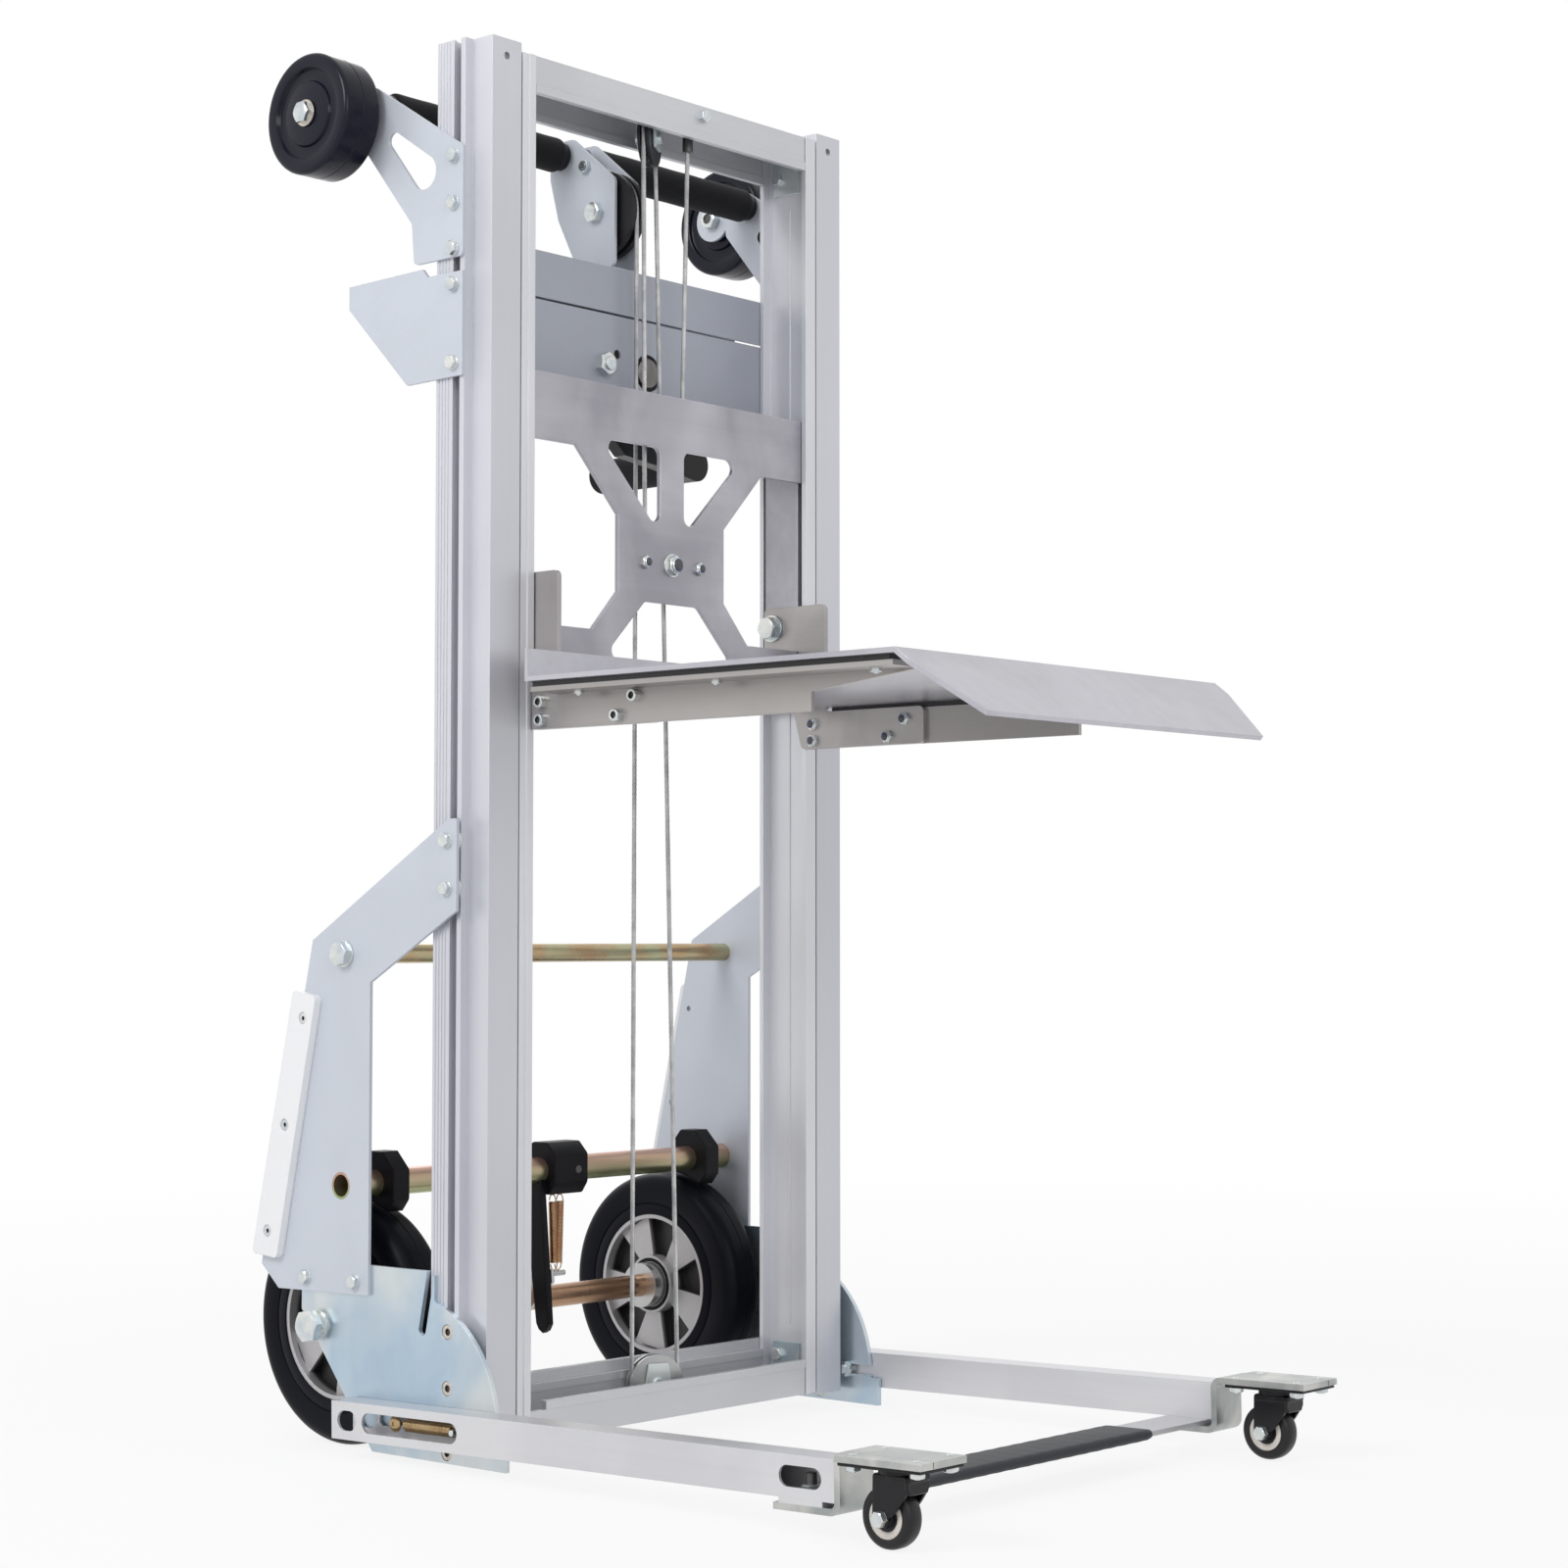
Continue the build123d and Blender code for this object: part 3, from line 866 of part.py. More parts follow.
# Leg bolts: one foot bolt a side, the caster bolts and the spring's anchor pin
foot_bolt = rod_z(under_z - 1, leg_z0 + 10, leg_mid, FOOT_Y, 4)
foot_bolt += hex_z(under_z - 5.3, under_z, leg_mid, FOOT_Y, 13)
foot_bolt += hex_z(leg_z0 + LEG_WALL, leg_z0 + LEG_WALL + 6.5, leg_mid, FOOT_Y, 13)
anchor_pin = rod_x(LEG_X0 + 0.2, leg_x1 - 1, pin_at, PIVOT[1], 2.5)
leg_bolts = both(tilt(foot_bolt)) + both(tilt(anchor_pin))
for bolt in caster_bolts:
    leg_bolts += both(tilt(bolt))
put("leg_bolts", *leg_bolts)

# Lock pins: shouldered pins in the cam notches, with a nut on the inner side
lock = rod_x(COL_OUT - 8, LEG_X0 - 0.2, pin_at, PIVOT[1], PIN_R)
lock += hex_x(COL_OUT - 6, COL_OUT - SEAT, pin_at, PIVOT[1], 13)
put("lock_pins", *both(tilt(lock)))

# Leg springs: between pivot screw and anchor pin, inside the tube's long slot
leg_spring = coil(4.4, PIVOT[0] - PIVOT_R - pin_at - 2.5 - 2 * SEAT, 24, 0.8)
spring_at = Pos(LEG_X0 + 10.5, pin_at + 2.5 + SEAT, PIVOT[1]) * Rot(-90, 0, 0) * leg_spring
put("leg_springs", *both(tilt(spring_at)))

# Hoist cable, one rope: drum, head pulley, bottom pulley, top pulley, carriage pulley, anchor
LOOPS = 7
LAY = 5.0
wind_r = HEAD_X - DRUM[0]
up = Vector(0, 0, 1)
down = Vector(0, 0, -1)
lead_y = HEAD_PULLEY[0] + HEAD_PITCH
knots = []
for i in range(2 * LOOPS + 1):
    a = math.pi * (i - 2 * LOOPS)
    y = lead_y + LAY / 2 * (i - 2 * LOOPS)
    point = Vector(DRUM[0] + wind_r * math.cos(a), y, DRUM[1] + wind_r * math.sin(a))
    tangent = Vector(-wind_r * math.sin(a), LAY / (2 * math.pi), wind_r * math.cos(a))
    knots.append((point, up if i == 2 * LOOPS else tangent.normalized()))
route = []
for a, b in zip(knots, knots[1:]):
    route += biarc(*a, *b)


def around(centre, pitch_r, along, over, entry, leave):
    """Half turn on a pulley: from -along to +along of the centre, over its top or bottom."""
    p0 = centre - along * pitch_r
    pm = centre + over * pitch_r
    p1 = centre + along * pitch_r
    return p0, p1, biarc(p0, entry, pm, along) + biarc(pm, along, p1, leave)


def skew(turn_deg):
    a = math.radians(turn_deg)
    return Vector(math.cos(a), math.sin(a), 0)


head_c = Vector(HEAD_X, *HEAD_PULLEY)
head_p1 = head_c + Vector(0, -1, 0) * HEAD_PITCH
low_dir = skew(LOW_TURN)
low_p0 = LOW_P - low_dir * PULLEY_PITCH
low_p1 = LOW_P + low_dir * PULLEY_PITCH
top_dir = skew(TOP_TURN) * -1
top_p0 = TOP_P - top_dir * PULLEY_PITCH
top_p1 = TOP_P + top_dir * PULLEY_PITCH
car_p0 = CAR_P - Vector(1, 0, 0) * PULLEY_PITCH
car_p1 = CAR_P + Vector(1, 0, 0) * PULLEY_PITCH
run1 = (low_p0 - head_p1).normalized()
run3 = (top_p0 - low_p1).normalized()
run2 = (car_p0 - top_p1).normalized()
end = ANCHOR + up * 10
run4 = (end - car_p1).normalized()
start0 = knots[-1][0]
p0, p1, arcs = around(head_c, HEAD_PITCH, Vector(0, -1, 0), up, up, run1)
route += [Line(start0, p0)] + arcs
q0, q1, arcs = around(LOW_P, PULLEY_PITCH, low_dir, down, run1, run3)
route += [Line(p1, q0)] + arcs
r0, r1, arcs = around(TOP_P, PULLEY_PITCH, top_dir, up, run3, run2)
route += [Line(q1, r0)] + arcs
s0, s1, arcs = around(CAR_P, PULLEY_PITCH, Vector(1, 0, 0), down, run2, run4)
route += [Line(r1, s0)] + arcs + [Line(s1, end)]
rope = tube(route, knots[0][0], knots[0][1], CABLE_R)
print(f"cable: gap between drum turns {LAY - 2 * CABLE_R:.2f} mm")
put("hoist_cable", rope)
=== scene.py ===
import math

import bmesh
import bpy
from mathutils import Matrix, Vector


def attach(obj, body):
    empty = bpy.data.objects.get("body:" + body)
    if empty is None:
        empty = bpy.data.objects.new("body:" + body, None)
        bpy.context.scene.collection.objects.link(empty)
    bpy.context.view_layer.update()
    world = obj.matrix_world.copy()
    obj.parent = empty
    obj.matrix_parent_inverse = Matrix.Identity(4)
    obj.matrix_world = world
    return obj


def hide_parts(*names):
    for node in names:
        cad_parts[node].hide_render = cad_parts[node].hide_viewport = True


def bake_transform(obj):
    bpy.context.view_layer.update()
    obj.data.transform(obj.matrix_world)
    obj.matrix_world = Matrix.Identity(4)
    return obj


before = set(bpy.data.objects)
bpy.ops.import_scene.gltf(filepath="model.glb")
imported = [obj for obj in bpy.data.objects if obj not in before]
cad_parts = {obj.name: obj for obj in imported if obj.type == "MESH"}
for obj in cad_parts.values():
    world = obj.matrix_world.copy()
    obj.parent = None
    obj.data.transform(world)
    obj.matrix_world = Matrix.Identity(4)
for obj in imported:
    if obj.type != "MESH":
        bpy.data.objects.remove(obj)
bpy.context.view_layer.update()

# Studio: the photograph's camera, a white room and three soft lamps.
# The camera stands low at the left front and looks slightly up, as solved from the photo's edges.
scene = bpy.context.scene
scene.view_settings.view_transform = "Standard"
LENS_MM = 70.04
CAMERA_AT = (-1.8731, -1.6593, 0.4143)
CAMERA_PITCH = 92.924
CAMERA_TURN = -48.975
camera_data = bpy.data.cameras.new("photo_camera")
camera_data.lens = LENS_MM
camera_data.sensor_width = 36.0
camera_data.clip_end = 60.0
camera = bpy.data.objects.new("photo_camera", camera_data)
camera.location = CAMERA_AT
camera.rotation_euler = (math.radians(CAMERA_PITCH), 0.0, math.radians(CAMERA_TURN))
scene.collection.objects.link(camera)
scene.camera = camera


def add(tree, kind, inputs=None, **settings):
    """New shader node; inputs takes sockets to link or plain values to set."""
    made = tree.nodes.new("ShaderNode" + kind)
    for key, value in settings.items():
        setattr(made, key, value)
    for key, value in (inputs or {}).items():
        if isinstance(value, bpy.types.NodeSocket):
            tree.links.new(value, made.inputs[key])
        else:
            made.inputs[key].default_value = value
    return made


def calc(tree, work, *terms):
    """Result of a Math node on sockets or numbers."""
    return add(tree, "Math", dict(enumerate(terms)), operation=work).outputs[0]


def span(tree, value, limits=(0.0, 1.0), result=(0.0, 1.0)):
    """Result of a Map Range node that carries the value's limits to those of the result."""
    ends = {"From Min": limits[0], "From Max": limits[1], "To Min": result[0], "To Max": result[1]}
    return add(tree, "MapRange", {"Value": value, **ends}).outputs[0]


def seen_ray(tree):
    """1 for rays that show the background itself: camera, glossy and transmission rays."""
    path = add(tree, "LightPath").outputs
    seen = calc(tree, "MAXIMUM", path["Is Camera Ray"], path["Is Glossy Ray"])
    return calc(tree, "MAXIMUM", seen, path["Is Transmission Ray"])


world = bpy.data.worlds.new("white_room")
scene.world = world
world.use_nodes = True
room = world.node_tree
room.nodes.clear()
ROOM_LIGHT = 0.50
WHITE = (1.0, 1.0, 1.0, 1.0)
room_glow = add(room, "Background", {"Color": WHITE, "Strength": ROOM_LIGHT}).outputs[0]
room_white = add(room, "Background", {"Color": WHITE, "Strength": 1.0}).outputs[0]
room_mix = add(room, "MixShader", {0: seen_ray(room), 1: room_glow, 2: room_white})
add(room, "OutputWorld", {"Surface": room_mix.outputs[0]})

FLOOR_R = 9.0
FLOOR_Z = -0.0005
bpy.ops.mesh.primitive_circle_add(vertices=96, radius=FLOOR_R, fill_type="NGON", location=(0, 0, FLOOR_Z))
floor = bpy.context.object
floor.name = "studio_floor"
floor_paint = bpy.data.materials.new("floor_paint")
floor_paint.use_nodes = True
tree = floor_paint.node_tree
tree.nodes.clear()
FLOOR_GLOW = 0.86
GLOW_FADE = (0.8, 3.0)
diffuse = add(tree, "BsdfDiffuse", {"Color": (0.86, 0.86, 0.86, 1.0)}).outputs[0]
glow = add(tree, "Emission", {"Color": WHITE, "Strength": 1.0}).outputs[0]
place = add(tree, "TexCoord")
reach = add(tree, "VectorMath", {0: place.outputs["Object"]}, operation="LENGTH")
fade = span(tree, reach.outputs["Value"], GLOW_FADE, (FLOOR_GLOW, 1.0))
share = calc(tree, "MULTIPLY", fade, seen_ray(tree))
floor_mix = add(tree, "MixShader", {0: share, 1: diffuse, 2: glow})
add(tree, "OutputMaterial", {"Surface": floor_mix.outputs[0]})
floor.data.materials.append(floor_paint)


def lamp(name, where, aim, size, watts):
    data = bpy.data.lights.new(name, "AREA")
    data.shape = "DISK"
    data.size = size
    data.energy = watts
    item = bpy.data.objects.new(name, data)
    item.location = where
    item.rotation_euler = (Vector(aim) - Vector(where)).to_track_quat("-Z", "Y").to_euler()
    scene.collection.objects.link(item)


lamp("left_softbox", (-4.2, 0.4, 3.1), (0.0, 0.0, 0.5), 2.2, 98.0)
lamp("front_softbox", (-1.7, -3.3, 2.0), (-0.15, 0.0, 0.6), 1.6, 26.0)
lamp("rear_softbox", (1.6, 3.0, 2.4), (0.0, 0.1, 0.7), 2.6, 22.0)

# Outer columns: two satin anodised aluminium extrusions, cut to length, with a T-slot outside.
# Their faces show fine drawing lines that run up the column; the edges are barely broken.
MM = 0.001
MAST_Y = 91.3
FOOT_Z = 16.0


def at(x, y, z):
    """Mast millimetres (Y from the columns' front, Z from their foot) to the frame's metres."""
    return Vector((x, y + MAST_Y, z + FOOT_Z)) * MM


def shader_group(name, takes, gives):
    """Empty shader node group with its sockets; returns the tree, its input and its output node."""
    group = bpy.data.node_groups.new(name, "ShaderNodeTree")
    for label, kind, value in takes:
        socket = group.interface.new_socket(label, in_out="INPUT", socket_type=kind)
        socket.default_value = value
    for label, kind in gives:
        group.interface.new_socket(label, in_out="OUTPUT", socket_type=kind)
    return group, group.nodes.new("NodeGroupInput"), group.nodes.new("NodeGroupOutput")


# shared effect: drawn or brushed lines plus slow clouding, as a shade around 1 and a height
drawn, entry, leave = shader_group(
    "drawn_lines",
    [("Lines", "NodeSocketVector", (300.0, 300.0, 3.0)), ("Line Depth", "NodeSocketFloat", 0.1),
     ("Cloud Scale", "NodeSocketFloat", 9.0), ("Cloud Depth", "NodeSocketFloat", 0.1)],
    [("Shade", "NodeSocketFloat"), ("Cloud", "NodeSocketFloat"), ("Height", "NodeSocketFloat")])
here = add(drawn, "TexCoord").outputs["Object"]
stretch = add(drawn, "VectorMath", {0: here, 1: entry.outputs["Lines"]}, operation="MULTIPLY")
fine = {"Vector": stretch.outputs[0], "Scale": 1.0, "Detail": 3.0, "Roughness": 0.6}
slow = {"Vector": here, "Scale": entry.outputs["Cloud Scale"], "Detail": 4.0, "Distortion": 0.6}
lines = add(drawn, "TexNoise", fine).outputs[0]
clouds = add(drawn, "TexNoise", slow).outputs[0]
shade = 1.0
for noise, depth in ((lines, "Line Depth"), (clouds, "Cloud Depth")):
    shade = calc(drawn, "MULTIPLY_ADD", calc(drawn, "SUBTRACT", noise, 0.5), entry.outputs[depth], shade)
for label, value in (("Shade", shade), ("Cloud", clouds), ("Height", lines)):
    drawn.links.new(value, leave.inputs[label])

# shared effect: edges broken by a small radius, as a normal and as a mask along the edge
broken, entry, leave = shader_group(
    "broken_edge", [("Radius", "NodeSocketFloat", 0.0006)],
    [("Normal", "NodeSocketVector"), ("Edge", "NodeSocketFloat")])
rounded = add(broken, "Bevel", {"Radius": entry.outputs["Radius"]}, samples=4).outputs[0]
flat = add(broken, "NewGeometry").outputs["True Normal"]
agree = add(broken, "VectorMath", {0: rounded, 1: flat}, operation="DOT_PRODUCT")
broken.links.new(rounded, leave.inputs["Normal"])
broken.links.new(span(broken, agree.outputs["Value"], (0.995, 0.8)), leave.inputs["Edge"])


def start_finish(name, lines, line_depth, cloud, cloud_depth, edge, metallic):
    """New material with both shared effects; returns it, its tree, its shader and the effects' outputs."""
    made = bpy.data.materials.new(name)
    made.use_nodes = True
    tree = made.node_tree
    face = tree.nodes["Principled BSDF"]
    face.inputs["Metallic"].default_value = metallic
    look = add(tree, "Group", {"Lines": lines, "Line Depth": line_depth, "Cloud Scale": cloud,
                                         "Cloud Depth": cloud_depth}, node_tree=drawn)
    rim = add(tree, "Group", {"Radius": edge}, node_tree=broken)
    return made, tree, face, look.outputs, rim.outputs


def end_finish(tree, face, look, rim, colour, gain, rough, spread, bump):
    """Links the shaded colour, a clouded roughness and the relief to the shader."""
    shaded = add(tree, "VectorMath", {0: colour, "Scale": gain}, operation="SCALE").outputs[0]
    dull = span(tree, look["Cloud"], result=(rough - spread, rough + spread))
    relief = add(tree, "Bump", {"Strength": bump, "Distance": 0.0004, "Height": look["Height"],
                                          "Normal": rim["Normal"]}).outputs[0]
    for label, value in (("Base Color", shaded), ("Roughness", dull), ("Normal", relief)):
        tree.links.new(value, face.inputs[label])


def two_tones(tree, share, first, second):
    """Colour that goes from the first tone to the second."""
    inputs = {0: share, 6: (*first, 1.0), 7: (*second, 1.0)}
    return add(tree, "Mix", inputs, data_type="RGBA").outputs[2]


def metal(name, colour, second, lines, line_depth, cloud, cloud_depth, rough, metallic, edge=0.0006,
          bump=0.02, painted_edge_highlight=1.18):
    """Bare or plated metal: two tones by the clouding, drawn lines, and a painted highlight that lightens
    the colour along the broken edges.
    """
    made, tree, face, look, rim = start_finish(name, lines, line_depth, cloud, cloud_depth, edge, metallic)
    tones = two_tones(tree, span(tree, look["Cloud"], (0.38, 0.62)), colour, second)
    # painted highlight: the colour grows lighter along the broken edges, by the factor given for the edges
    gain = calc(tree, "MULTIPLY", look["Shade"], span(tree, rim["Edge"], result=(1.0, painted_edge_highlight)))
    end_finish(tree, face, look, rim, tones, gain, rough, 0.07, bump)
    return made


def dress(material, *nodes):
    """Give carried-over CAD nodes their finish."""
    for node in nodes:
        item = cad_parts[node]
        item.data.materials.clear()
        item.data.materials.append(material)


anodised = metal("anodised_extrusion", (0.62, 0.63, 0.675), (0.66, 0.665, 0.71), (260.0, 260.0, 2.0), 0.04,
                 3.0, 0.05, 0.42, 0.5)
dress(anodised, "outer_columns")

# Inner mast: two channels, a top and a bottom beam of the same extrusion, bolted through zinc angles.
# The channels telescope in the columns' slots; the beams lie across, so their lines run sideways.
channel_metal = metal("channel_extrusion", (0.72, 0.73, 0.765), (0.76, 0.765, 0.80), (260.0, 260.0, 2.0),
                      0.05, 4.0, 0.05, 0.40, 0.45)
beam_metal = metal("beam_extrusion", (0.60, 0.605, 0.63), (0.64, 0.645, 0.67), (2.0, 260.0, 260.0), 0.08,
                   5.0, 0.06, 0.40, 0.55)
dress(channel_metal, "inner_columns")
dress(beam_metal, "top_beam", "bottom_beam", "rear_cross_beam")
blue_zinc = metal("blue_zinc", (0.50, 0.60, 0.65), (0.68, 0.72, 0.72), (30.0, 30.0, 9.0), 0.16, 14.0, 0.22,
                  0.36, 0.75, bump=0.03)
dress(blue_zinc, "corner_brackets", "pulley_yokes")

# Hoist cable: one galvanised steel rope of six strands, 4 mm thick and held taut all the way.
# It winds on the drum, runs over four pulleys and ends in a fitting on the top beam; its free runs
# change length as the mast and the carriage rise, so the rope is cut into pieces where it meets a pulley.
ROPE_R = 1.28
STRAND_R = 0.72
STRANDS = 6
ROPE_LAY = 25.0
ROPE_STEP = 2.6


def skin(shape, rings, slot=0, loop=False):
    """Join rings of vertices by faces; a ring of one vertex closes the end."""
    pairs = list(zip(rings, rings[1:]))
    if loop:
        pairs.append((rings[-1], rings[0]))
    for a, b in pairs:
        count = max(len(a), len(b))
        for k in range(count):
            j = (k + 1) % count
            corners = (a[k % len(a)], a[j % len(a)], b[j % len(b)], b[k % len(b)])
            corners = list(dict.fromkeys(corners))
            if len(corners) > 2:
                shape.faces.new(corners).material_index = slot


TURN = 2 * math.pi


def cross_axes(along, near=None):
    """Two unit axes square to a direction, the first one as near as can be to a given one."""
    across = along.orthogonal() if near is None else near - along * near.dot(along)
    across.normalize()
    return across, along.cross(across)


def spoke(axes, angle):
    """Unit direction at an angle between two axes."""
    return axes[0] * math.cos(angle) + axes[1] * math.sin(angle)


def along_line(points):
    """Each point of a line with two axes square to it, which are carried along without twist."""
    last = len(points) - 1
    near = None
    for i, point in enumerate(points):
        axes = cross_axes((points[min(i + 1, last)] - points[max(i - 1, 0)]).normalized(), near)
        near = axes[0]
        yield point, axes


def wire(shape, points, radius, sides=6):
    """Round wire along points in metres, with closed ends."""
    rings = []
    for point, axes in along_line(points):
        spots = [point + spoke(axes, TURN * k / sides) * radius for k in range(sides)]
        rings.append([shape.verts.new(spot_at) for spot_at in spots])
    skin(shape, rings)
    for ring in (rings[0], rings[-1]):
        shape.faces.new(ring)


def piece(shape, name, materials, body=None, stands_for=(), crease=32.0):
    """Finish a mesh as a named piece that rides on a body and may stand for CAD nodes."""
    bmesh.ops.recalc_face_normals(shape, faces=shape.faces[:])
    mesh = bpy.data.meshes.new(name)
    shape.to_mesh(mesh)
    shape.free()
    for material in materials:
        mesh.materials.append(material)
    mesh.shade_smooth()
    mesh.set_sharp_from_angle(angle=math.radians(crease))
    item = bpy.data.objects.new(name, mesh)
    scene.collection.objects.link(item)
    if body:
        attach(item, body)
    if stands_for:
        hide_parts(*stands_for)
    return item


def pulley_turn(centre, along, over, pitch):
    """Control points of a half turn from -along to +along of a pulley's centre, and its two ends."""
    out = pitch / math.cos(math.radians(22.5))
    corners = []
    for degrees in (22.5, 67.5, 112.5, 157.5):
        a = math.radians(degrees)
        corners.append(centre + (over * math.sin(a) - along * math.cos(a)) * out)
    return centre - along * pitch, corners, centre + along * pitch


UP = Vector((0, 0, 1))
SMALL_PITCH = 21.0
HEAD_PITCH = 34.0
HEAD_AXLE = (76.0, 1023.0)
CAR_PULLEY_Z = 714.0
DRUM_C = (-33.0, 887.0)
DRUM_TURNS = 7
DRUM_LAY = 5.0
DRUM_PITCH = 28.0
DRUM_Y = 110.0


def level_way(degrees):
    a = math.radians(degrees)
    return Vector((math.cos(a), math.sin(a), 0))


route = []
out = DRUM_PITCH / math.cos(math.radians(15))
for k in range(12 * DRUM_TURNS):
    a = math.radians(30 * k + 15)
    y = DRUM_Y + DRUM_LAY * ((30 * k + 15) / 360 - DRUM_TURNS)
    route.append(Vector((DRUM_C[0] + out * math.cos(a), y, DRUM_C[1] + out * math.sin(a))))
first_lead = DRUM_PITCH * math.tan(math.radians(15))
route.append(Vector((DRUM_C[0] + DRUM_PITCH, DRUM_Y, DRUM_C[1] + first_lead)))
stops = [
    pulley_turn(Vector((-5, *HEAD_AXLE)), Vector((0, -1, 0)), UP, HEAD_PITCH),
    pulley_turn(Vector((10, 32, 26)), level_way(-23), -UP, SMALL_PITCH),
    pulley_turn(Vector((-8, 24.5, 1081)), -level_way(30), UP, SMALL_PITCH),
    pulley_turn(Vector((0, 16, CAR_PULLEY_Z)), Vector((1, 0, 0)), -UP, SMALL_PITCH),
]
rope_end = Vector((31, 16, 1085))
lead = math.tan(math.radians(22.5))
for k, (enter, corners, exit_at) in enumerate(stops):
    pitch = HEAD_PITCH if k == 0 else SMALL_PITCH
    goes_to = stops[k + 1][0] if k + 1 < len(stops) else rope_end
    route.append(enter + (route[-1] - enter).normalized() * pitch * lead)
    route += corners
    route.append(exit_at + (goes_to - exit_at).normalized() * pitch * lead)
route.append(rope_end)
rope_curve = bpy.data.curves.new("rope_line", "CURVE")
rope_curve.dimensions = "3D"
rope_curve.resolution_u = 10
spline = rope_curve.splines.new("NURBS")
spline.points.add(len(route) - 1)
for control, point in zip(spline.points, route):
    control.co = (*at(*point), 1.0)
spline.order_u = 3
spline.use_endpoint_u = True
line_object = bpy.data.objects.new("rope_line", rope_curve)
line_mesh = bpy.data.meshes.new_from_object(line_object)
read = [v.co.copy() for v in line_mesh.vertices]
bpy.data.objects.remove(line_object)
bpy.data.meshes.remove(line_mesh)
line = [read[0]]
for point in read[1:]:
    gap = point - line[-1]
    steps = max(1, round(gap.length / (ROPE_STEP * MM)))
    if gap.length > 0.5 * ROPE_STEP * MM:
        line += [line[-1] + gap * (n / steps) for n in range(1, steps + 1)]
strand_lines = [[] for _ in range(STRANDS)]
run = 0.0
for i, (point, axes) in enumerate(along_line(line)):
    run += (point - line[i - 1]).length if i else 0.0
    for k in range(STRANDS):
        angle = TURN * (run / (ROPE_LAY * MM) + k / STRANDS)
        strand_lines[k].append(point + spoke(axes, angle) * ROPE_R * MM)
rope_steel = metal("rope_steel", (0.40, 0.405, 0.41), (0.52, 0.52, 0.52), (500.0, 500.0, 500.0), 0.3,
                   60.0, 0.25, 0.40, 0.85, edge=0.0001)


def nearest(point):
    return min(range(len(line)), key=lambda n: (line[n] - at(*point)).length_squared)


def rope_piece(name, first, last, body=None, stands_for=()):
    shape = bmesh.new()
    for strand in strand_lines:
        wire(shape, strand[first:last + 1], STRAND_R * MM)
    return piece(shape, name, [rope_steel], body, stands_for, crease=70.0)


cuts = [nearest(p) for p in (stops[0][2], stops[1][0], stops[2][2], stops[3][0], stops[3][2])]
rope_piece("rope_winch", 0, cuts[0], "mast_base", ["hoist_cable"])
drop = rope_piece("rope_drop", cuts[0], cuts[1])
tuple(line[cuts[0]])
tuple(line[cuts[1]])
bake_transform(drop)
rope_piece("rope_mast", cuts[1], cuts[2], "inner_mast")
fall = rope_piece("rope_carriage_left", cuts[2], cuts[3])
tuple(line[cuts[2]])
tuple(line[cuts[3]])
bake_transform(fall)
rope_piece("rope_carriage_loop", cuts[3], cuts[4], "carriage")
rise = rope_piece("rope_carriage_right", cuts[4], len(line) - 1)
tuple(line[cuts[4]])
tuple(line[-1])
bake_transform(rise)

# Pulleys: moulded dark nylon wheels, each on a bolt between two cheeks; only the lowest one is steel.
# The guide shoes that line the carriage's side plates are the same nylon.


def coated(name, colour, rough, grain, depth, bump, edge=0.0006, sheen=0.0, metallic=0.0, shine=0.5):
    """Moulded, foamed or powder-coated surface: fine grain in colour and relief, soft edges."""
    lines = (grain, grain, grain)
    made, tree, face, look, rim = start_finish(name, lines, depth, 12.0, depth * 0.8, edge, metallic)
    face.inputs["Sheen Weight"].default_value = sheen
    face.inputs["Specular IOR Level"].default_value = shine
    worn = calc(tree, "MULTIPLY_ADD", rim["Edge"], 0.25, look["Shade"])
    end_finish(tree, face, look, rim, colour, worn, rough, 0.08, bump)
    return made


nylon = coated("dark_nylon", (0.016, 0.016, 0.020), 0.45, 700.0, 0.3, 0.05, shine=0.3)
dress(nylon, "guide_shoes", "head_pulley", "top_pulley", "carriage_pulley")
pulley_steel = metal("pulley_steel", (0.40, 0.41, 0.42), (0.52, 0.52, 0.51), (60.0, 60.0, 60.0), 0.2,
                     30.0, 0.2, 0.35, 0.85)
dress(pulley_steel, "bottom_pulley")

# Carriage and platform: laser-cut aluminium plate, brushed along its length and smudged by handling.
# The rails and hinge brackets are the same plate with a warmer mill finish.
# the carriage plates' edges take a strong painted highlight
carriage_metal = metal("brushed_plate", (0.34, 0.333, 0.372), (0.47, 0.46, 0.50), (4.0, 120.0, 90.0), 0.20,
                       7.0, 0.20, 0.36, 0.75, edge=0.0012, painted_edge_highlight=1.6)
deck_metal = metal("deck_plate", (0.44, 0.436, 0.48), (0.52, 0.515, 0.56), (90.0, 3.0, 90.0), 0.18, 7.0,
                   0.16, 0.30, 0.75)
rail_metal = metal("rail_plate", (0.36, 0.345, 0.34), (0.45, 0.43, 0.42), (90.0, 3.0, 120.0), 0.18, 9.0,
                   0.14, 0.34, 0.75)
dress(carriage_metal, "carriage_plate", "carriage_side_plates")
dress(deck_metal, "platform_plate")
dress(rail_metal, "platform_brackets")

# Platform rails: bent angles of the same plate; a black rubber strip is glued on each, under the deck.
# The strips are told from the plate by their height, which lies wholly above the flange.
FLANGE_TOP = 597.0
rail_and_strip, tree, face, look, rim = start_finish("rail_and_strip", (90.0, 3.0, 120.0), 0.18, 9.0, 0.14,
                                                     0.0006, 0.75)


def spot(tree):
    """X, Y and Z of the shaded point in the frame, as sockets."""
    place = add(tree, "TexCoord")
    return add(tree, "SeparateXYZ", {0: place.outputs["Object"]}).outputs


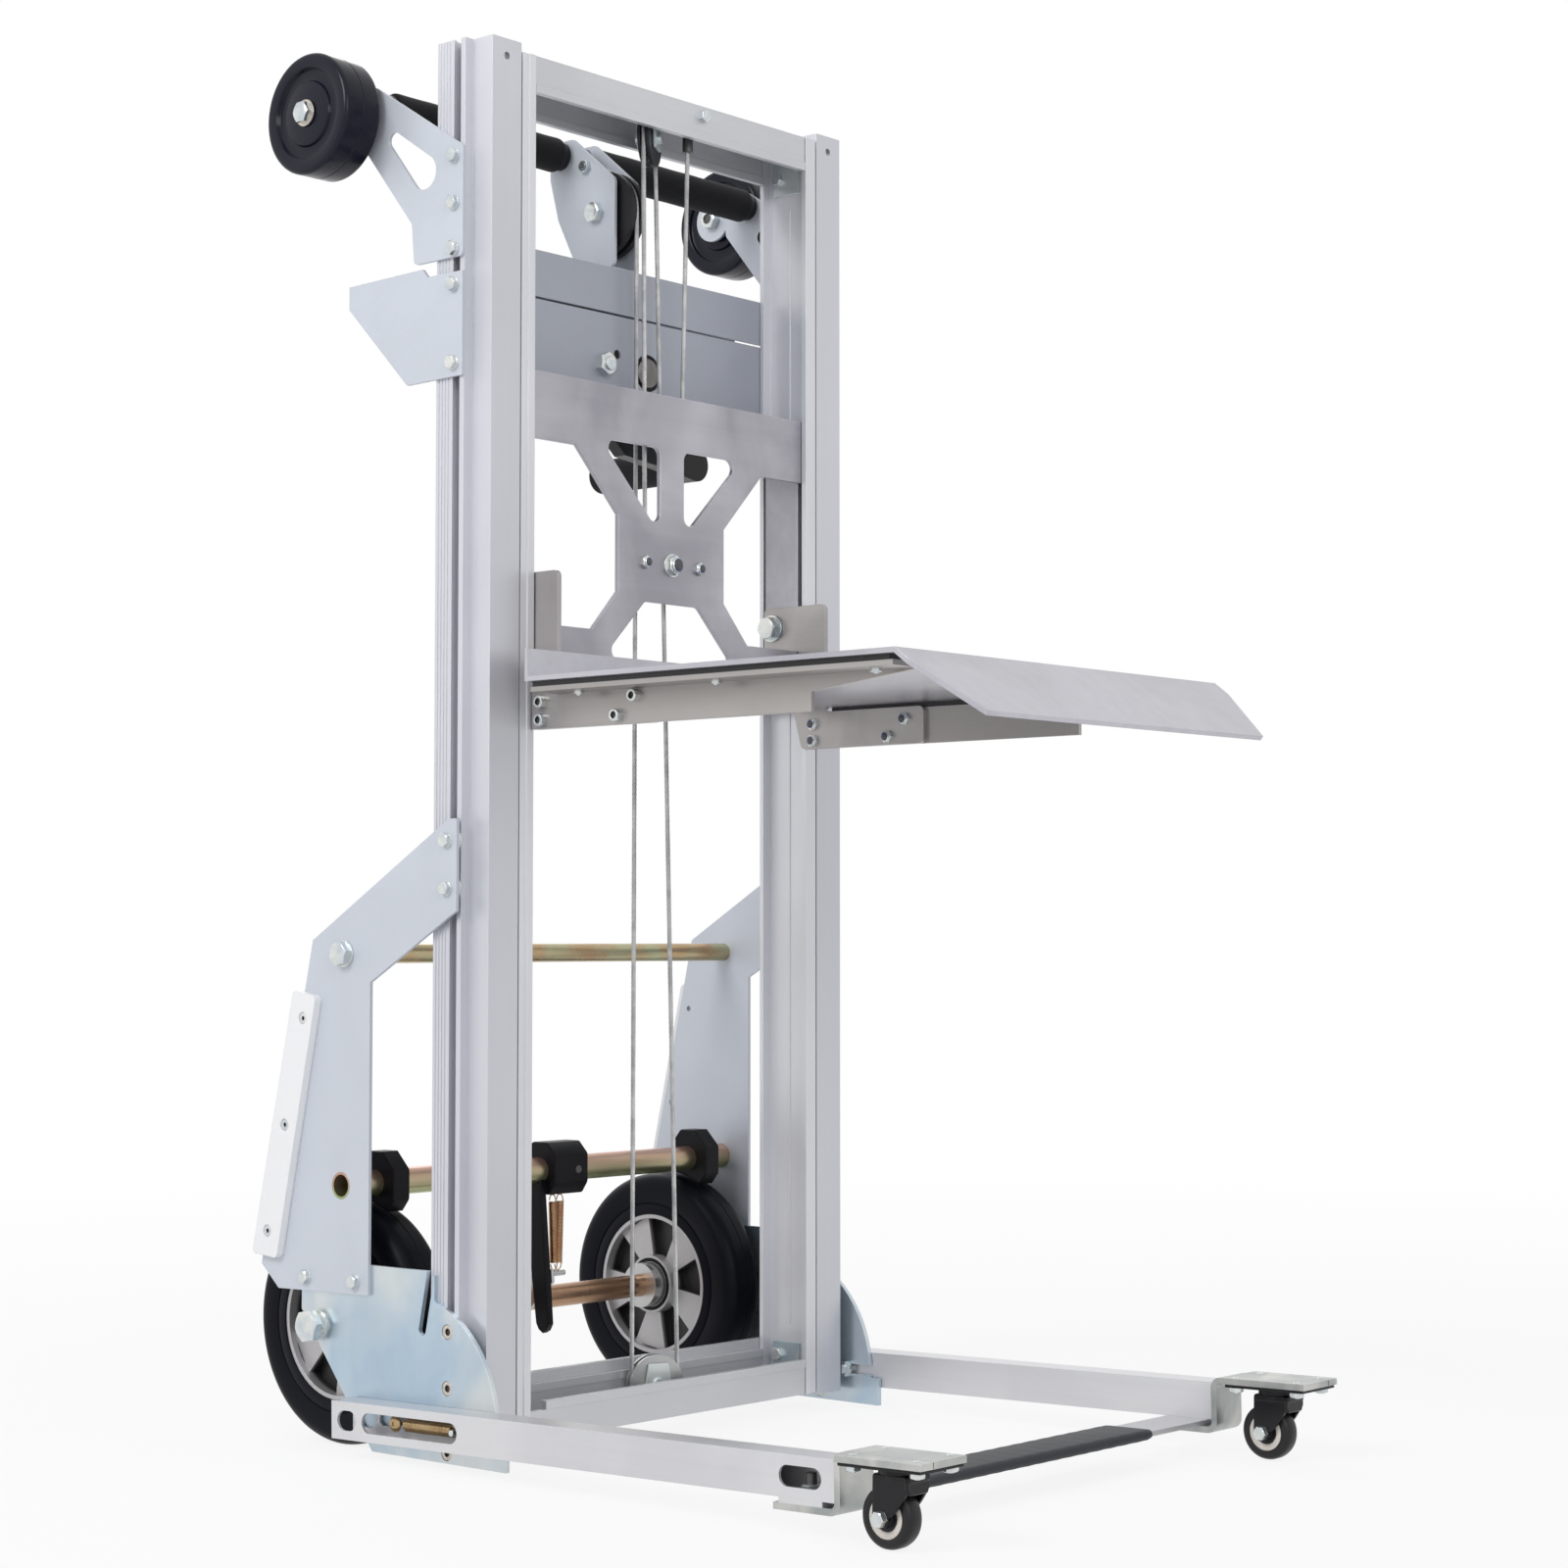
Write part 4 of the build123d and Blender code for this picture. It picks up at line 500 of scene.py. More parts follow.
strip = calc(tree, "GREATER_THAN", spot(tree)["Z"], (FLANGE_TOP + FOOT_Z + 0.05) * MM)
tones = two_tones(tree, strip, (0.40, 0.38, 0.37), (0.016, 0.016, 0.018))
tree.links.new(span(tree, strip, result=(0.75, 0.0)), face.inputs["Metallic"])
end_finish(tree, face, look, rim, tones, look["Shade"], 0.36, 0.07, 0.02)
dress(rail_and_strip, "platform_rails")

# Steel plates of the head, winch and base: cut sheet with a pale grey-blue coat that is finely speckled.
# They are bolted to the columns' T-slots; the winch panels behind the mast have a darker copy of the coat,
# painted shade for the mast's shade on them.
pale_coat = coated("pale_coat", (0.575, 0.61, 0.675), 0.46, 900.0, 0.16, 0.12, metallic=0.25)
dress(pale_coat, "top_wheel_brackets", "winch_side_plates", "pulley_bracket", "side_plates")
# painted shade: a darker copy of the pale coat for the winch panels in the mast's shade
painted_shade_coat = coated("painted_shade_coat", (0.44, 0.465, 0.53), 0.50, 900.0, 0.16, 0.12, metallic=0.25)
dress(painted_shade_coat, "winch_front_panel", "winch_top_channel")
# painted shade: the winch frame is black so that the hole in the panel in front of it shows dark
winch_frame_shade_black = coated("winch_frame_shade_black", (0.020, 0.020, 0.022), 0.50, 800.0, 0.25, 0.08, shine=0.2)
dress(winch_frame_shade_black, "winch_frame")

# Cam plates and skids: the cam is thicker plate in clear zinc that streaks from blue to pale yellow.
# The skids are white polyethylene bars, screwed to the side plates' rear edges.
# the cam's edges take a strong painted highlight
cam_zinc = metal("cam_zinc", (0.43, 0.55, 0.66), (0.62, 0.66, 0.67), (24.0, 24.0, 7.0), 0.22, 9.0, 0.22,
                 0.30, 0.8, bump=0.03, painted_edge_highlight=1.45)
dress(cam_zinc, "cam_plates")
skid_white = coated("white_polyethylene", (0.85, 0.855, 0.875), 0.42, 500.0, 0.03, 0.03, edge=0.0015)
dress(skid_white, "skids")

# Rods, axle, drum and shafts: steel bar with yellow chromate zinc that shifts to pink and green.
# Turned or drawn, and held by bolts in the side plates.
yellow_zinc = metal("yellow_chromate", (0.50, 0.34, 0.19), (0.44, 0.44, 0.27), (6.0, 60.0, 60.0), 0.25,
                    26.0, 0.3, 0.28, 0.85)
dress(yellow_zinc, "tie_rod", "cable_drum")
grey_zinc = metal("grey_zinc", (0.17, 0.165, 0.16), (0.25, 0.24, 0.23), (60.0, 60.0, 60.0), 0.2,
                  60.0, 0.3, 0.36, 0.85)
dress(grey_zinc, "crank_shaft")

# Wheel axle: the same bar in a browner chromate, with two bright split collars that keep the wheels apart.
# The collars are told from the bar by their distance from the axle's line.
WHEEL = (186.0, 84.0)
BAR_R = 10.3
axle_zinc, tree, face, look, rim = start_finish("axle_zinc", (5.0, 80.0, 80.0), 0.07, 9.0, 0.12,
                                                0.0006, 0.85)
place = add(tree, "TexCoord")
from_line = add(tree, "VectorMath", {0: place.outputs["Object"], 1: at(0, *WHEEL)},
                operation="SUBTRACT")
from_line = add(tree, "VectorMath", {0: from_line.outputs[0], 1: (0.0, 1.0, 1.0)},
                operation="MULTIPLY")
from_line = add(tree, "VectorMath", {0: from_line.outputs[0]}, operation="LENGTH")
collar = calc(tree, "GREATER_THAN", from_line.outputs["Value"], BAR_R * MM)
tones = two_tones(tree, collar, (0.43, 0.26, 0.16), (0.50, 0.50, 0.50))
end_finish(tree, face, look, rim, tones, look["Shade"], 0.28, 0.07, 0.02)
dress(axle_zinc, "wheel_axle")

# Brake tube: drawn tube in the same chromate, pink along its top and green below.
# It turns in the side plates, whose holes carry its ends.
BRAKE_Z = 199.0
BRAKE_TUBE_R = 11.0
brake_zinc, tree, face, look, rim = start_finish("brake_zinc", (6.0, 60.0, 60.0), 0.2, 22.0, 0.2,
                                                 0.0006, 0.85)
middle = BRAKE_Z + FOOT_Z
level = span(tree, spot(tree)["Z"], ((middle - BRAKE_TUBE_R) * MM, (middle + BRAKE_TUBE_R) * MM))
tones = two_tones(tree, level, (0.34, 0.40, 0.20), (0.56, 0.34, 0.27))
end_finish(tree, face, look, rim, tones, look["Shade"], 0.30, 0.07, 0.02)
dress(brake_zinc, "brake_tube")

# Legs and cross bar: rectangular aluminium tube and flat bar, mill finish, sawn to length.
# They slope up 1.2 degrees to the front, and so does everything that is fixed to them.
LEG_TILT = math.radians(1.2)
PIVOT = (75.0, 17.0)


def leg_at(x, y, z):
    """A point given as if the legs lay level, in mast millimetres, to the frame's metres."""
    dy = y - PIVOT[0]
    dz = z - PIVOT[1]
    return at(x, PIVOT[0] + dy * math.cos(LEG_TILT) + dz * math.sin(LEG_TILT),
              PIVOT[1] - dy * math.sin(LEG_TILT) + dz * math.cos(LEG_TILT))


leg_metal = metal("leg_tube", (0.63, 0.63, 0.655), (0.69, 0.69, 0.71), (200.0, 2.0, 200.0), 0.08, 6.0, 0.07,
                  0.34, 0.6)
dress(leg_metal, "legs", "cross_bar")

# Leg springs: close-wound extension springs in the legs, seen through the long slots; yellow zinc wire.
# One end hangs on the lock pin's cross pin, the other on the pivot screw.
LEG_SPRING_R = 5.0
LEG_SPRING_X = 239.0
LEG_SPRING_Y = (2.8, 69.7)
spring_zinc = metal("spring_zinc", (0.40, 0.27, 0.14), (0.48, 0.36, 0.20), (300.0, 300.0, 300.0), 0.2,
                    60.0, 0.2, 0.30, 0.85, edge=0.0001)


def spring(shape, start, end, radius, gauge, curls, hook):
    """Extension spring between two points in metres: close curls, and a half hook at either end."""
    along = (end - start).normalized()
    axes = cross_axes(along)
    first = hook + 2 * gauge
    stretch = (end - start).length - 2 * first
    steps = curls * 14
    points = []
    for k in range(7):
        a = math.pi * k / 6
        points.append(start + along * hook * (1 - math.sin(a)) + axes[1] * radius * 0.85 * math.cos(a))
    for k in range(steps + 1):
        angle = TURN * (k / 14 + 0.75)
        points.append(start + along * (first + stretch * k / steps) + spoke(axes, angle) * radius)
    for k in range(7):
        a = math.pi * k / 6
        points.append(end - along * hook * (1 - math.sin(a)) - axes[1] * radius * 0.85 * math.cos(a))
    wire(shape, points, gauge)


shape = bmesh.new()
for side in (-1, 1):
    ends = [leg_at(LEG_SPRING_X * side, y, PIVOT[1]) for y in LEG_SPRING_Y]
    spring(shape, *ends, LEG_SPRING_R * MM, 0.72 * MM, 34, 5 * MM)
piece(shape, "leg_springs_wound", [spring_zinc], "legs", ["leg_springs"], crease=70.0)

# Brake springs: two thinner springs that pull the lever block back to the eye plate on the axle.
# They are wound close of copper-toned wire, hang side by side and meet at one pin below.
copper_zinc = metal("copper_chromate", (0.46, 0.24, 0.13), (0.50, 0.33, 0.18), (300.0, 300.0, 300.0), 0.2,
                    60.0, 0.2, 0.30, 0.85, edge=0.0001)
shape = bmesh.new()
for x_top, x_low in ((3.0, 5.2), (12.0, 9.8)):
    spring(shape, at(x_low, 148, 112.3), at(x_top, 148, 177.7), 3.2 * MM, 0.57 * MM, 45, 5 * MM)
piece(shape, "brake_springs_wound", [copper_zinc], "mast_base", ["brake_springs"], crease=70.0)

# Handle: black coated steel tube across the head, with two foam grips pushed on from the ends.
# The foam is cut square, swells a little and has rounded rims.
HANDLE = (119.0, 1079.0)
GRIP_R = 15.0
TUBE_R = 12.05


def turn(shape, origin, axis, profile, steps=48, slot=0, loop=False):
    """Revolve (along, radius) points in mm about an axis through a point given in metres."""
    axis = Vector(axis).normalized()
    axes = cross_axes(axis)
    rings = []
    for along, radius in profile:
        ring = []
        for k in range(steps if radius else 1):
            out = spoke(axes, TURN * k / steps) * radius
            ring.append(shape.verts.new(origin + (axis * along + out) * MM))
        rings.append(ring)
    skin(shape, rings, slot, loop)


black_coat = coated("black_coat", (0.012, 0.012, 0.014), 0.36, 800.0, 0.3, 0.08, shine=0.25)
black_foam = coated("black_foam", (0.012, 0.012, 0.014), 0.85, 420.0, 0.5, 0.6, edge=0.003, sheen=0.06,
                    shine=0.2)
dress(black_coat, "handle_tube", "crank_arm", "caster_plates")
dress(black_foam, "crank_grip")
shape = bmesh.new()
for x0, x1 in ((-216.0, -27.0), (17.0, 216.0)):
    rims = [(0.0, TUBE_R), (0.0, GRIP_R - 2.2), (0.5, GRIP_R - 0.9), (1.6, GRIP_R - 0.2), (3.5, GRIP_R)]
    swell = []
    for k in range(1, 16):
        swell.append((3.5 + (x1 - x0 - 7.0) * k / 16, GRIP_R - 0.12 + 0.12 * math.cos(k * 1.9)))
    tail = [(x1 - x0 - along, radius) for along, radius in reversed(rims)]
    turn(shape, at(x0, *HANDLE), (1, 0, 0), rims + swell + tail, 56, loop=True)
piece(shape, "foam_grips", [black_foam], "mast_base", ["handle_grips"])

# Cross bar sleeve: black rubber hose pulled over the flat bar between the legs, flattened to its section.
# It wrinkles slightly along its length and shows a dull blue-grey sheen on top.
SLEEVE_HALF = 146.0
SLEEVE_Y = -356.0
sleeve_rubber = coated("sleeve_rubber", (0.018, 0.020, 0.028), 0.62, 380.0, 0.4, 0.25, edge=0.002,
                       sheen=0.12, shine=0.35)
shape = bmesh.new()
rings = []
for k in range(61):
    x = -SLEEVE_HALF + 2 * SLEEVE_HALF * k / 60
    draw_in = 0.8 if k in (0, 60) else 0.0
    ripple = 0.12 * math.sin(k * 1.7) - 0.13
    ring = []
    for n in range(40):
        a = 2 * math.pi * n / 40
        y = (18.5 if math.cos(a) > 0 else -18.5) + 4.5 * math.cos(a)
        ring.append(shape.verts.new(leg_at(x, SLEEVE_Y + y * (1 - draw_in / 23),
                                           (4.5 - draw_in + ripple) * math.sin(a))))
    rings.append(ring)
skin(shape, rings)
for ring in (rings[0], rings[-1]):
    shape.faces.new(ring)
piece(shape, "rubber_sleeve", [sleeve_rubber], "legs", ["cross_bar_sleeve"])

# End brackets: zinc plated steel strip, bent twice at the leg's end so that it carries the caster in front.
# The bottom flange is bolted under leg and cross bar; the bends are about two thicknesses wide.
STRIP_T = 5.0
BEND_R = 6.5
STRIP_X = (216.5, 253.5)
SHELF_X1 = 267.0
STRIP_BACK = -331.0
STRIP_UP_Y = -389.5
STRIP_LOW_Z = -4.5
SHELF_MID_Z = 35.5
STRIP_FRONT = -474.0


def plate(shape, outline, thrust, inset):
    """Flat piece from a closed outline in metres, pushed along thrust, its edges broken by inset mm."""
    middle = sum(outline, Vector()) / len(outline)
    edge = thrust.normalized() * inset * MM
    shrunk = []
    for k, point in enumerate(outline):
        after = outline[(k + 1) % len(outline)]
        pull = (outline[k - 1] - point).normalized() + (after - point).normalized()
        if pull.length < 0.05:
            pull = middle - point
        sign = 1.0 if pull.dot(middle - point) > 0 else -1.0
        shrunk.append(point + pull.normalized() * sign * inset * MM)
    layers = (shrunk, [p + edge for p in outline], [p + thrust - edge for p in outline],
              [p + thrust for p in shrunk])
    rings = [[shape.verts.new(p) for p in layer] for layer in layers]
    skin(shape, rings)
    for ring in (rings[0], rings[-1]):
        shape.faces.new(ring)


def arc(centre, radius, first, last, steps):
    """Points of an arc in a plane, from one angle in degrees to another."""
    made = []
    for k in range(steps + 1):
        a = math.radians(first + (last - first) * k / steps)
        made.append((centre[0] + radius * math.cos(a), centre[1] + radius * math.sin(a)))
    return made


def strip_side(offset):
    """One face of the bent strip as (y, z) points, offset upwards from its middle line."""
    low_bend = arc((STRIP_UP_Y + BEND_R, STRIP_LOW_Z + BEND_R), BEND_R - offset, 270, 180, 8)
    top_bend = arc((STRIP_UP_Y - BEND_R, SHELF_MID_Z - BEND_R), BEND_R + offset, 0, 90, 8)
    back = (STRIP_BACK, STRIP_LOW_Z + offset)
    return [back, *low_bend, *top_bend, (STRIP_FRONT, SHELF_MID_Z + offset)]


# the bent strips' edges take a strong painted highlight
bright_zinc = metal("bright_zinc", (0.36, 0.385, 0.38), (0.56, 0.555, 0.53), (40.0, 9.0, 40.0), 0.16, 20.0,
                    0.30, 0.30, 0.85, painted_edge_highlight=1.5)
shape = bmesh.new()
for side in (-1, 1):
    upper, lower = strip_side(STRIP_T / 2), strip_side(-STRIP_T / 2)
    rings = []
    for x in STRIP_X:
        rings.append([[shape.verts.new(leg_at(side * x, *p)) for p in half] for half in (upper, lower)])
    for k in range(len(upper) - 1):
        for a, b in ((rings[0][0], rings[1][0]), (rings[1][1], rings[0][1]), (rings[0][1], rings[0][0]),
                     (rings[1][0], rings[1][1])):
            shape.faces.new((a[k], a[k + 1], b[k + 1], b[k]))
    for k in (0, -1):
        shape.faces.new((rings[0][0][k], rings[1][0][k], rings[1][1][k], rings[0][1][k]))
    wing = [leg_at(side * x, y, SHELF_MID_Z - STRIP_T / 2) for x, y in (
        (STRIP_X[1] - 1, -397.0), (SHELF_X1 - 2, -397.0), (SHELF_X1, -399.0), (SHELF_X1, STRIP_FRONT + 1),
        (SHELF_X1 - 1, STRIP_FRONT), (STRIP_X[1] - 1, STRIP_FRONT))]
    plate(shape, wing, leg_at(0, 0, STRIP_T) - leg_at(0, 0, 0), 0.25)
piece(shape, "bent_end_brackets", [bright_zinc], "legs", ["leg_end_brackets"])

# Casters: pressed black forks that swivel under a plate; small wheels with an ivory ring and a bearing.
# The cheeks run straight down behind and sweep back to the axle in front, where a short brow joins them.
CASTER = (240.0, -436.0)
CASTER_WHEEL = (-427.0, -4.5)
FORK_TOP = 25.7
CHEEK_IN = 9.5
CHEEK_T = 3.0
fork_black = coated("fork_black", (0.007, 0.007, 0.009), 0.24, 700.0, 0.3, 0.04, edge=0.0012, shine=0.3)
caster_tread = coated("caster_tread", (0.014, 0.013, 0.015), 0.38, 500.0, 0.25, 0.05, shine=0.3)
ivory = coated("ivory_ring", (0.72, 0.67, 0.62), 0.40, 500.0, 0.06, 0.03)
bolt_zinc = metal("bolt_zinc", (0.58, 0.63, 0.66), (0.72, 0.73, 0.70), (90.0, 90.0, 90.0), 0.2, 60.0, 0.2,
                  0.26, 0.85, edge=0.0003)
# dark finish for the bolts' thread ends, and for the socket screws' hex recesses, where it is painted shade
recess_shade_and_bolt_ends = coated("recess_shade_thread_finish", (0.10, 0.10, 0.10), 0.45, 900.0, 0.3, 0.1, metallic=0.7)


HEX_STEPS = 36
BORE_SINK = 1.2


def hex_reach(flats, k):
    """Radius of a hexagon at one of its steps."""
    return flats / 2 / math.cos(TURN * ((k + 3) % 6 - 3) / HEX_STEPS)


def hexagon(shape, origin, axis, flats, height, slot=0, spin=0.0, bore=0.0, bore_slot=0):
    """Hexagon head or nut in mm from a point in metres: corners turned down, with a bolt's end or plain."""
    axis = Vector(axis).normalized()
    axes = cross_axes(axis)
    corners = [hex_reach(flats, k) for k in range(HEX_STEPS)]

    def ring(radii, alongs):
        made = []
        for k, (radius, along) in enumerate(zip(radii, alongs)):
            out = spoke(axes, TURN * k / HEX_STEPS + spin) * radius
            made.append(shape.verts.new(origin + (axis * along + out) * MM))
        return made

    def round_ring(radius, along):
        return ring([radius] * HEX_STEPS, [along] * HEX_STEPS)

    slope = [height - 0.35 - (reach - flats / 2) * 0.58 for reach in corners]
    rings = [ring(corners, [0.0] * HEX_STEPS), ring(corners, slope), round_ring(flats / 2 * 0.93, height)]
    if bore:
        rings.append(round_ring(bore, height))
        low = height - BORE_SINK
        middle = shape.verts.new(origin + axis * (low * MM))
        skin(shape, [rings[-1], round_ring(bore * 0.97, low), [middle]], bore_slot)
    else:
        rings.append(round_ring(flats * 0.2, height))
        rings.append([shape.verts.new(origin + axis * (height * MM))])
    skin(shape, rings, slot)
    shape.faces.new(list(reversed(rings[0]))).material_index = slot


def mirrored(profile):
    """Half a profile and its mirror image, as one closed line."""
    return profile + [(-x, r) for x, r in reversed(profile)]


HANDS = (("left", -1), ("right", 1))
LEG_UP = leg_at(0, 0, 1) - leg_at(0, 0, 0)
BROW_T = leg_at(0, 2.4, 0) - leg_at(0, 0, 0)
boss = arc((CASTER_WHEEL[0] + 0.5, CASTER_WHEEL[1]), 7.0, 10, -190, 8)
cheek = [(-450.5, FORK_TOP - 2), (-448.5, FORK_TOP), (-422.0, FORK_TOP), (-420.2, FORK_TOP - 1.6),
         (-419.6, 6.0), (-419.3, -2.0), *boss, (-436.4, -2.4), (-440.2, 1.6), (-444.4, 6.6),
         (-448.2, 12.0), (-450.5, 16.5)]
crown = mirrored([(12.4, -421.0), (11.0, -419.9)])
crown += [(-x, y) for x, y in mirrored([(12.4, -450.9), (11.0, -452.0)])]
brow = mirrored([(12.4, FORK_TOP - 0.6), (12.4, 17.0), (9.6, 12.4)])
for hand, side in HANDS:
    shape = bmesh.new()
    for x in (CASTER[0] - CHEEK_IN - CHEEK_T, CASTER[0] + CHEEK_IN):
        plate(shape, [leg_at(side * x, *p) for p in cheek], Vector((side * CHEEK_T * MM, 0, 0)), 0.5)
    plate(shape, [leg_at(side * (CASTER[0] + x), y, FORK_TOP - 5) for x, y in crown], LEG_UP * 5.0, 0.8)
    plate(shape, [leg_at(side * (CASTER[0] + x), -451.0, z) for x, z in brow], BROW_T, 0.6)
    turn(shape, leg_at(side * CASTER[0], CASTER[1], FORK_TOP - 6), LEG_UP,
         [(0, 0), (0, 12.0), (5.2, 13.0), (6.0, 12.4), (6.0, 0)], 40)
    for way in (-1, 1):
        face = leg_at(side * CASTER[0] + way * (CHEEK_IN + CHEEK_T), *CASTER_WHEEL)
        hexagon(shape, face, (way, 0, 0), 10.0, 4.9, 1, 0.2)
    middle = leg_at(side * CASTER[0], *CASTER_WHEEL)
    turn(shape, middle, (1, 0, 0), [(-12, 0), (-12, 3), (12, 3), (12, 0)], 20, 1)
    piece(shape, "fork_" + hand, [fork_black, bolt_zinc], "caster_fork_" + hand, ["caster_fork_" + hand])
    shape = bmesh.new()
    tread = [(-7.4, 14.6), (-7.8, 15.6), (-8.0, 17.6), (-7.4, 19.8), (-5.8, 21.3), (-3.0, 22.0)]
    ring = [(-5.6, 9.4), (-6.6, 9.8), (-7.2, 10.8), (-7.2, 13.6), (-6.8, 14.7)]
    seat = [(-9.1, 3.1), (-9.1, 4.4), (-6.2, 4.8), (-5.8, 5.6), (-6.2, 6.4), (-6.2, 9.5)]
    for slot, (half, steps) in enumerate(((tread, 64), (ring, 64), (seat, 40))):
        turn(shape, middle, (1, 0, 0), mirrored(half), steps, slot, loop=True)
    piece(shape, "caster_roller_" + hand, [caster_tread, ivory, nylon], "caster_wheel_" + hand,
          ["caster_wheel_" + hand])

# Rear wheels: solid blue-black rubber tyres moulded round cast aluminium hubs with five fan-shaped spokes.
# The spokes' pockets take a painted shade, the hub's colour darkened towards the web at its middle;
# bearings with dark seals sit in the boss on both sides.
WHEEL_MID_X = 188.5
tyre_rubber = coated("tyre_rubber", (0.004, 0.0045, 0.008), 0.42, 450.0, 0.25, 0.06, edge=0.0008,
                     shine=0.09)
seal_black = coated("bearing_seal", (0.008, 0.008, 0.009), 0.40, 700.0, 0.2, 0.04, shine=0.15)
half_tyre = [(-19.4, 63.1), (-20.4, 64.0), (-20.5, 71.6), (-20.1, 72.3), (-19.2, 72.6), (-19.2, 73.4),
             (-20.1, 73.8), (-20.5, 74.6), *arc((-8.5, 88.0), 12.0, 180, 90, 8), (-0.7, 100.0),
             (-0.35, 99.5)]
for hand, side in HANDS:
    shape = bmesh.new()
    middle = at(side * WHEEL_MID_X, *WHEEL)
    turn(shape, middle, (1, 0, 0), mirrored(half_tyre), 128, loop=True)
    piece(shape, "tread_" + hand, [tyre_rubber], "rear_wheel_" + hand, ["tyre_" + hand])
    shape = bmesh.new()
    for x, way, hole in ((166.0, -side, 20.4), (211.0, side, 15.6)):
        seal = [(0.0, hole), (0.24, hole + 0.2), (0.24, hole + 0.9), (0.1, hole + 1.1), (0.1, 22.6),
                (0.24, 22.8), (0.24, 23.6), (0.0, 23.8)]
        turn(shape, at(side * x, *WHEEL), (way, 0, 0), seal, 64, loop=True)
    piece(shape, "bearing_seals_" + hand, [seal_black], "rear_wheel_" + hand)

POCKET_SHADE_SPAN = (0.009, 0.0128)
hub_cast, tree, face, look, rim = start_finish("hub_cast", (300.0, 300.0, 300.0), 0.14, 20.0, 0.12,
                                               0.0008, 0.55)
# painted shade in the hub's pockets: its colour falls to a tenth towards the web
off_middle = calc(tree, "SUBTRACT", calc(tree, "ABSOLUTE", spot(tree)["X"]), WHEEL_MID_X * MM)
pocket_painted_shade = span(tree, calc(tree, "ABSOLUTE", off_middle), POCKET_SHADE_SPAN, (0.10, 1.0))
gain = calc(tree, "MULTIPLY", pocket_painted_shade, look["Shade"])
end_finish(tree, face, look, rim, (0.47, 0.46, 0.47), gain, 0.44, 0.08, 0.08)
dress(hub_cast, "wheel_hub_left", "wheel_hub_right")

# Brake shoes and lever: moulded black blocks clamped on the brake tube, and a bar that goes down from it.
# Each shoe is hollowed to the tyre's round; the lever's block has a set screw in front.
SHOE_WIDE = 18.0
SHOE_LEFT = -194.5
SHOE_RIGHT = 182.5
LEVER_BLOCK = (-6.0, 35.0)
LEVER_T = 7.0
moulded = coated("moulded_black", (0.007, 0.007, 0.009), 0.40, 600.0, 0.25, 0.05, edge=0.0012, shine=0.12)
shoe_side = [(146.5, 225), (162.5, 225), (164.8, 224.2), (174.2, 213), (175, 210.6)]
for y in (175, 168, 161, 154, 147, 140):
    shoe_side.append((y, WHEEL[1] + math.sqrt(103 ** 2 - (y - WHEEL[0]) ** 2)))
shoe_side += [(132.6, 185.2), (132, 187), (132, 209), (132.6, 211)]
block_side = [(148, 223), (163, 223), (165, 222), (173.2, 213), (174, 211), (174, 189), (173.2, 187),
              (166, 179), (164, 178), (144, 178), (142.2, 179), (136.6, 187), (136, 189), (136, 211),
              (136.6, 213), (146, 222.4)]
lever_side = [(148, 200), (166, 200), (158, 110), (152, 68), (149, 63), (144, 60), (139.5, 62.5),
              (136.4, 68), (140, 110)]
shape = bmesh.new()
for x, wide, outline in ((SHOE_LEFT, SHOE_WIDE, shoe_side), (SHOE_RIGHT, SHOE_WIDE, shoe_side),
                         (LEVER_BLOCK[0], LEVER_BLOCK[1] - LEVER_BLOCK[0], block_side),
                         (LEVER_BLOCK[0] - LEVER_T, LEVER_T, lever_side)):
    plate(shape, [at(x, y, z) for y, z in outline], Vector((wide * MM, 0, 0)), 0.9)
set_screw = [(0, 0), (0, 3.4), (0.5, 3.2), (0.5, 2.2), (0.2, 1.8), (0.2, 0)]
turn(shape, at(23, 136.1, BRAKE_Z), (0, -1, 0), set_screw, 24, 1)
piece(shape, "brake_shoes_and_lever", [moulded, recess_shade_and_bolt_ends], "brake", ["brake_blocks"])

# Transport wheels: two solid dark polyurethane wheels at the head, for rolling the folded lift into a van.
# Each has a flat tread with a parting line, a small radius at the rim and a ring sunk round its disc.
TOP_WHEEL = (163.0, 1074.0)
TOP_WHEEL_X = 227.5
gloss_black = coated("gloss_black", (0.008, 0.009, 0.018), 0.17, 500.0, 0.2, 0.02, edge=0.0008, shine=0.2)
inner_face = [(0.0, 5.4), (0.0, 11.6), (0.4, 12.0), (4.3, 12.2), (4.5, 12.6), (4.5, 24.6), (4.9, 25.8),
              (7.6, 26.8), (8.0, 27.8), (8.0, 35.8), (7.6, 36.8), (4.9, 37.8), (4.5, 38.8)]
parting = [(22.9, 50.0), (23.3, 49.4), (23.7, 49.4), (24.1, 50.0)]
outer_face = [(42.5, 38.6), (42.3, 37.9), (41.7, 37.5), (39.4, 36.7), (38.7, 36.2), (38.5, 35.4),
              (38.5, 28.2), (38.7, 27.4), (39.3, 27.0), (40.5, 26.6), (41.2, 26.0), (41.5, 25.0),
              (41.5, 5.4)]
top_profile = [*inner_face, *arc((8.5, 46.0), 4.0, 180, 90, 6), *parting, *arc((38.5, 46.0), 4.0, 90, 0, 6),
               *outer_face]
for hand, side in HANDS:
    shape = bmesh.new()
    turn(shape, at(side * TOP_WHEEL_X, *TOP_WHEEL), (side, 0, 0), top_profile, 96, loop=True)
    piece(shape, "van_wheel_" + hand, [gloss_black], "top_wheel_" + hand, ["top_wheel_" + hand])

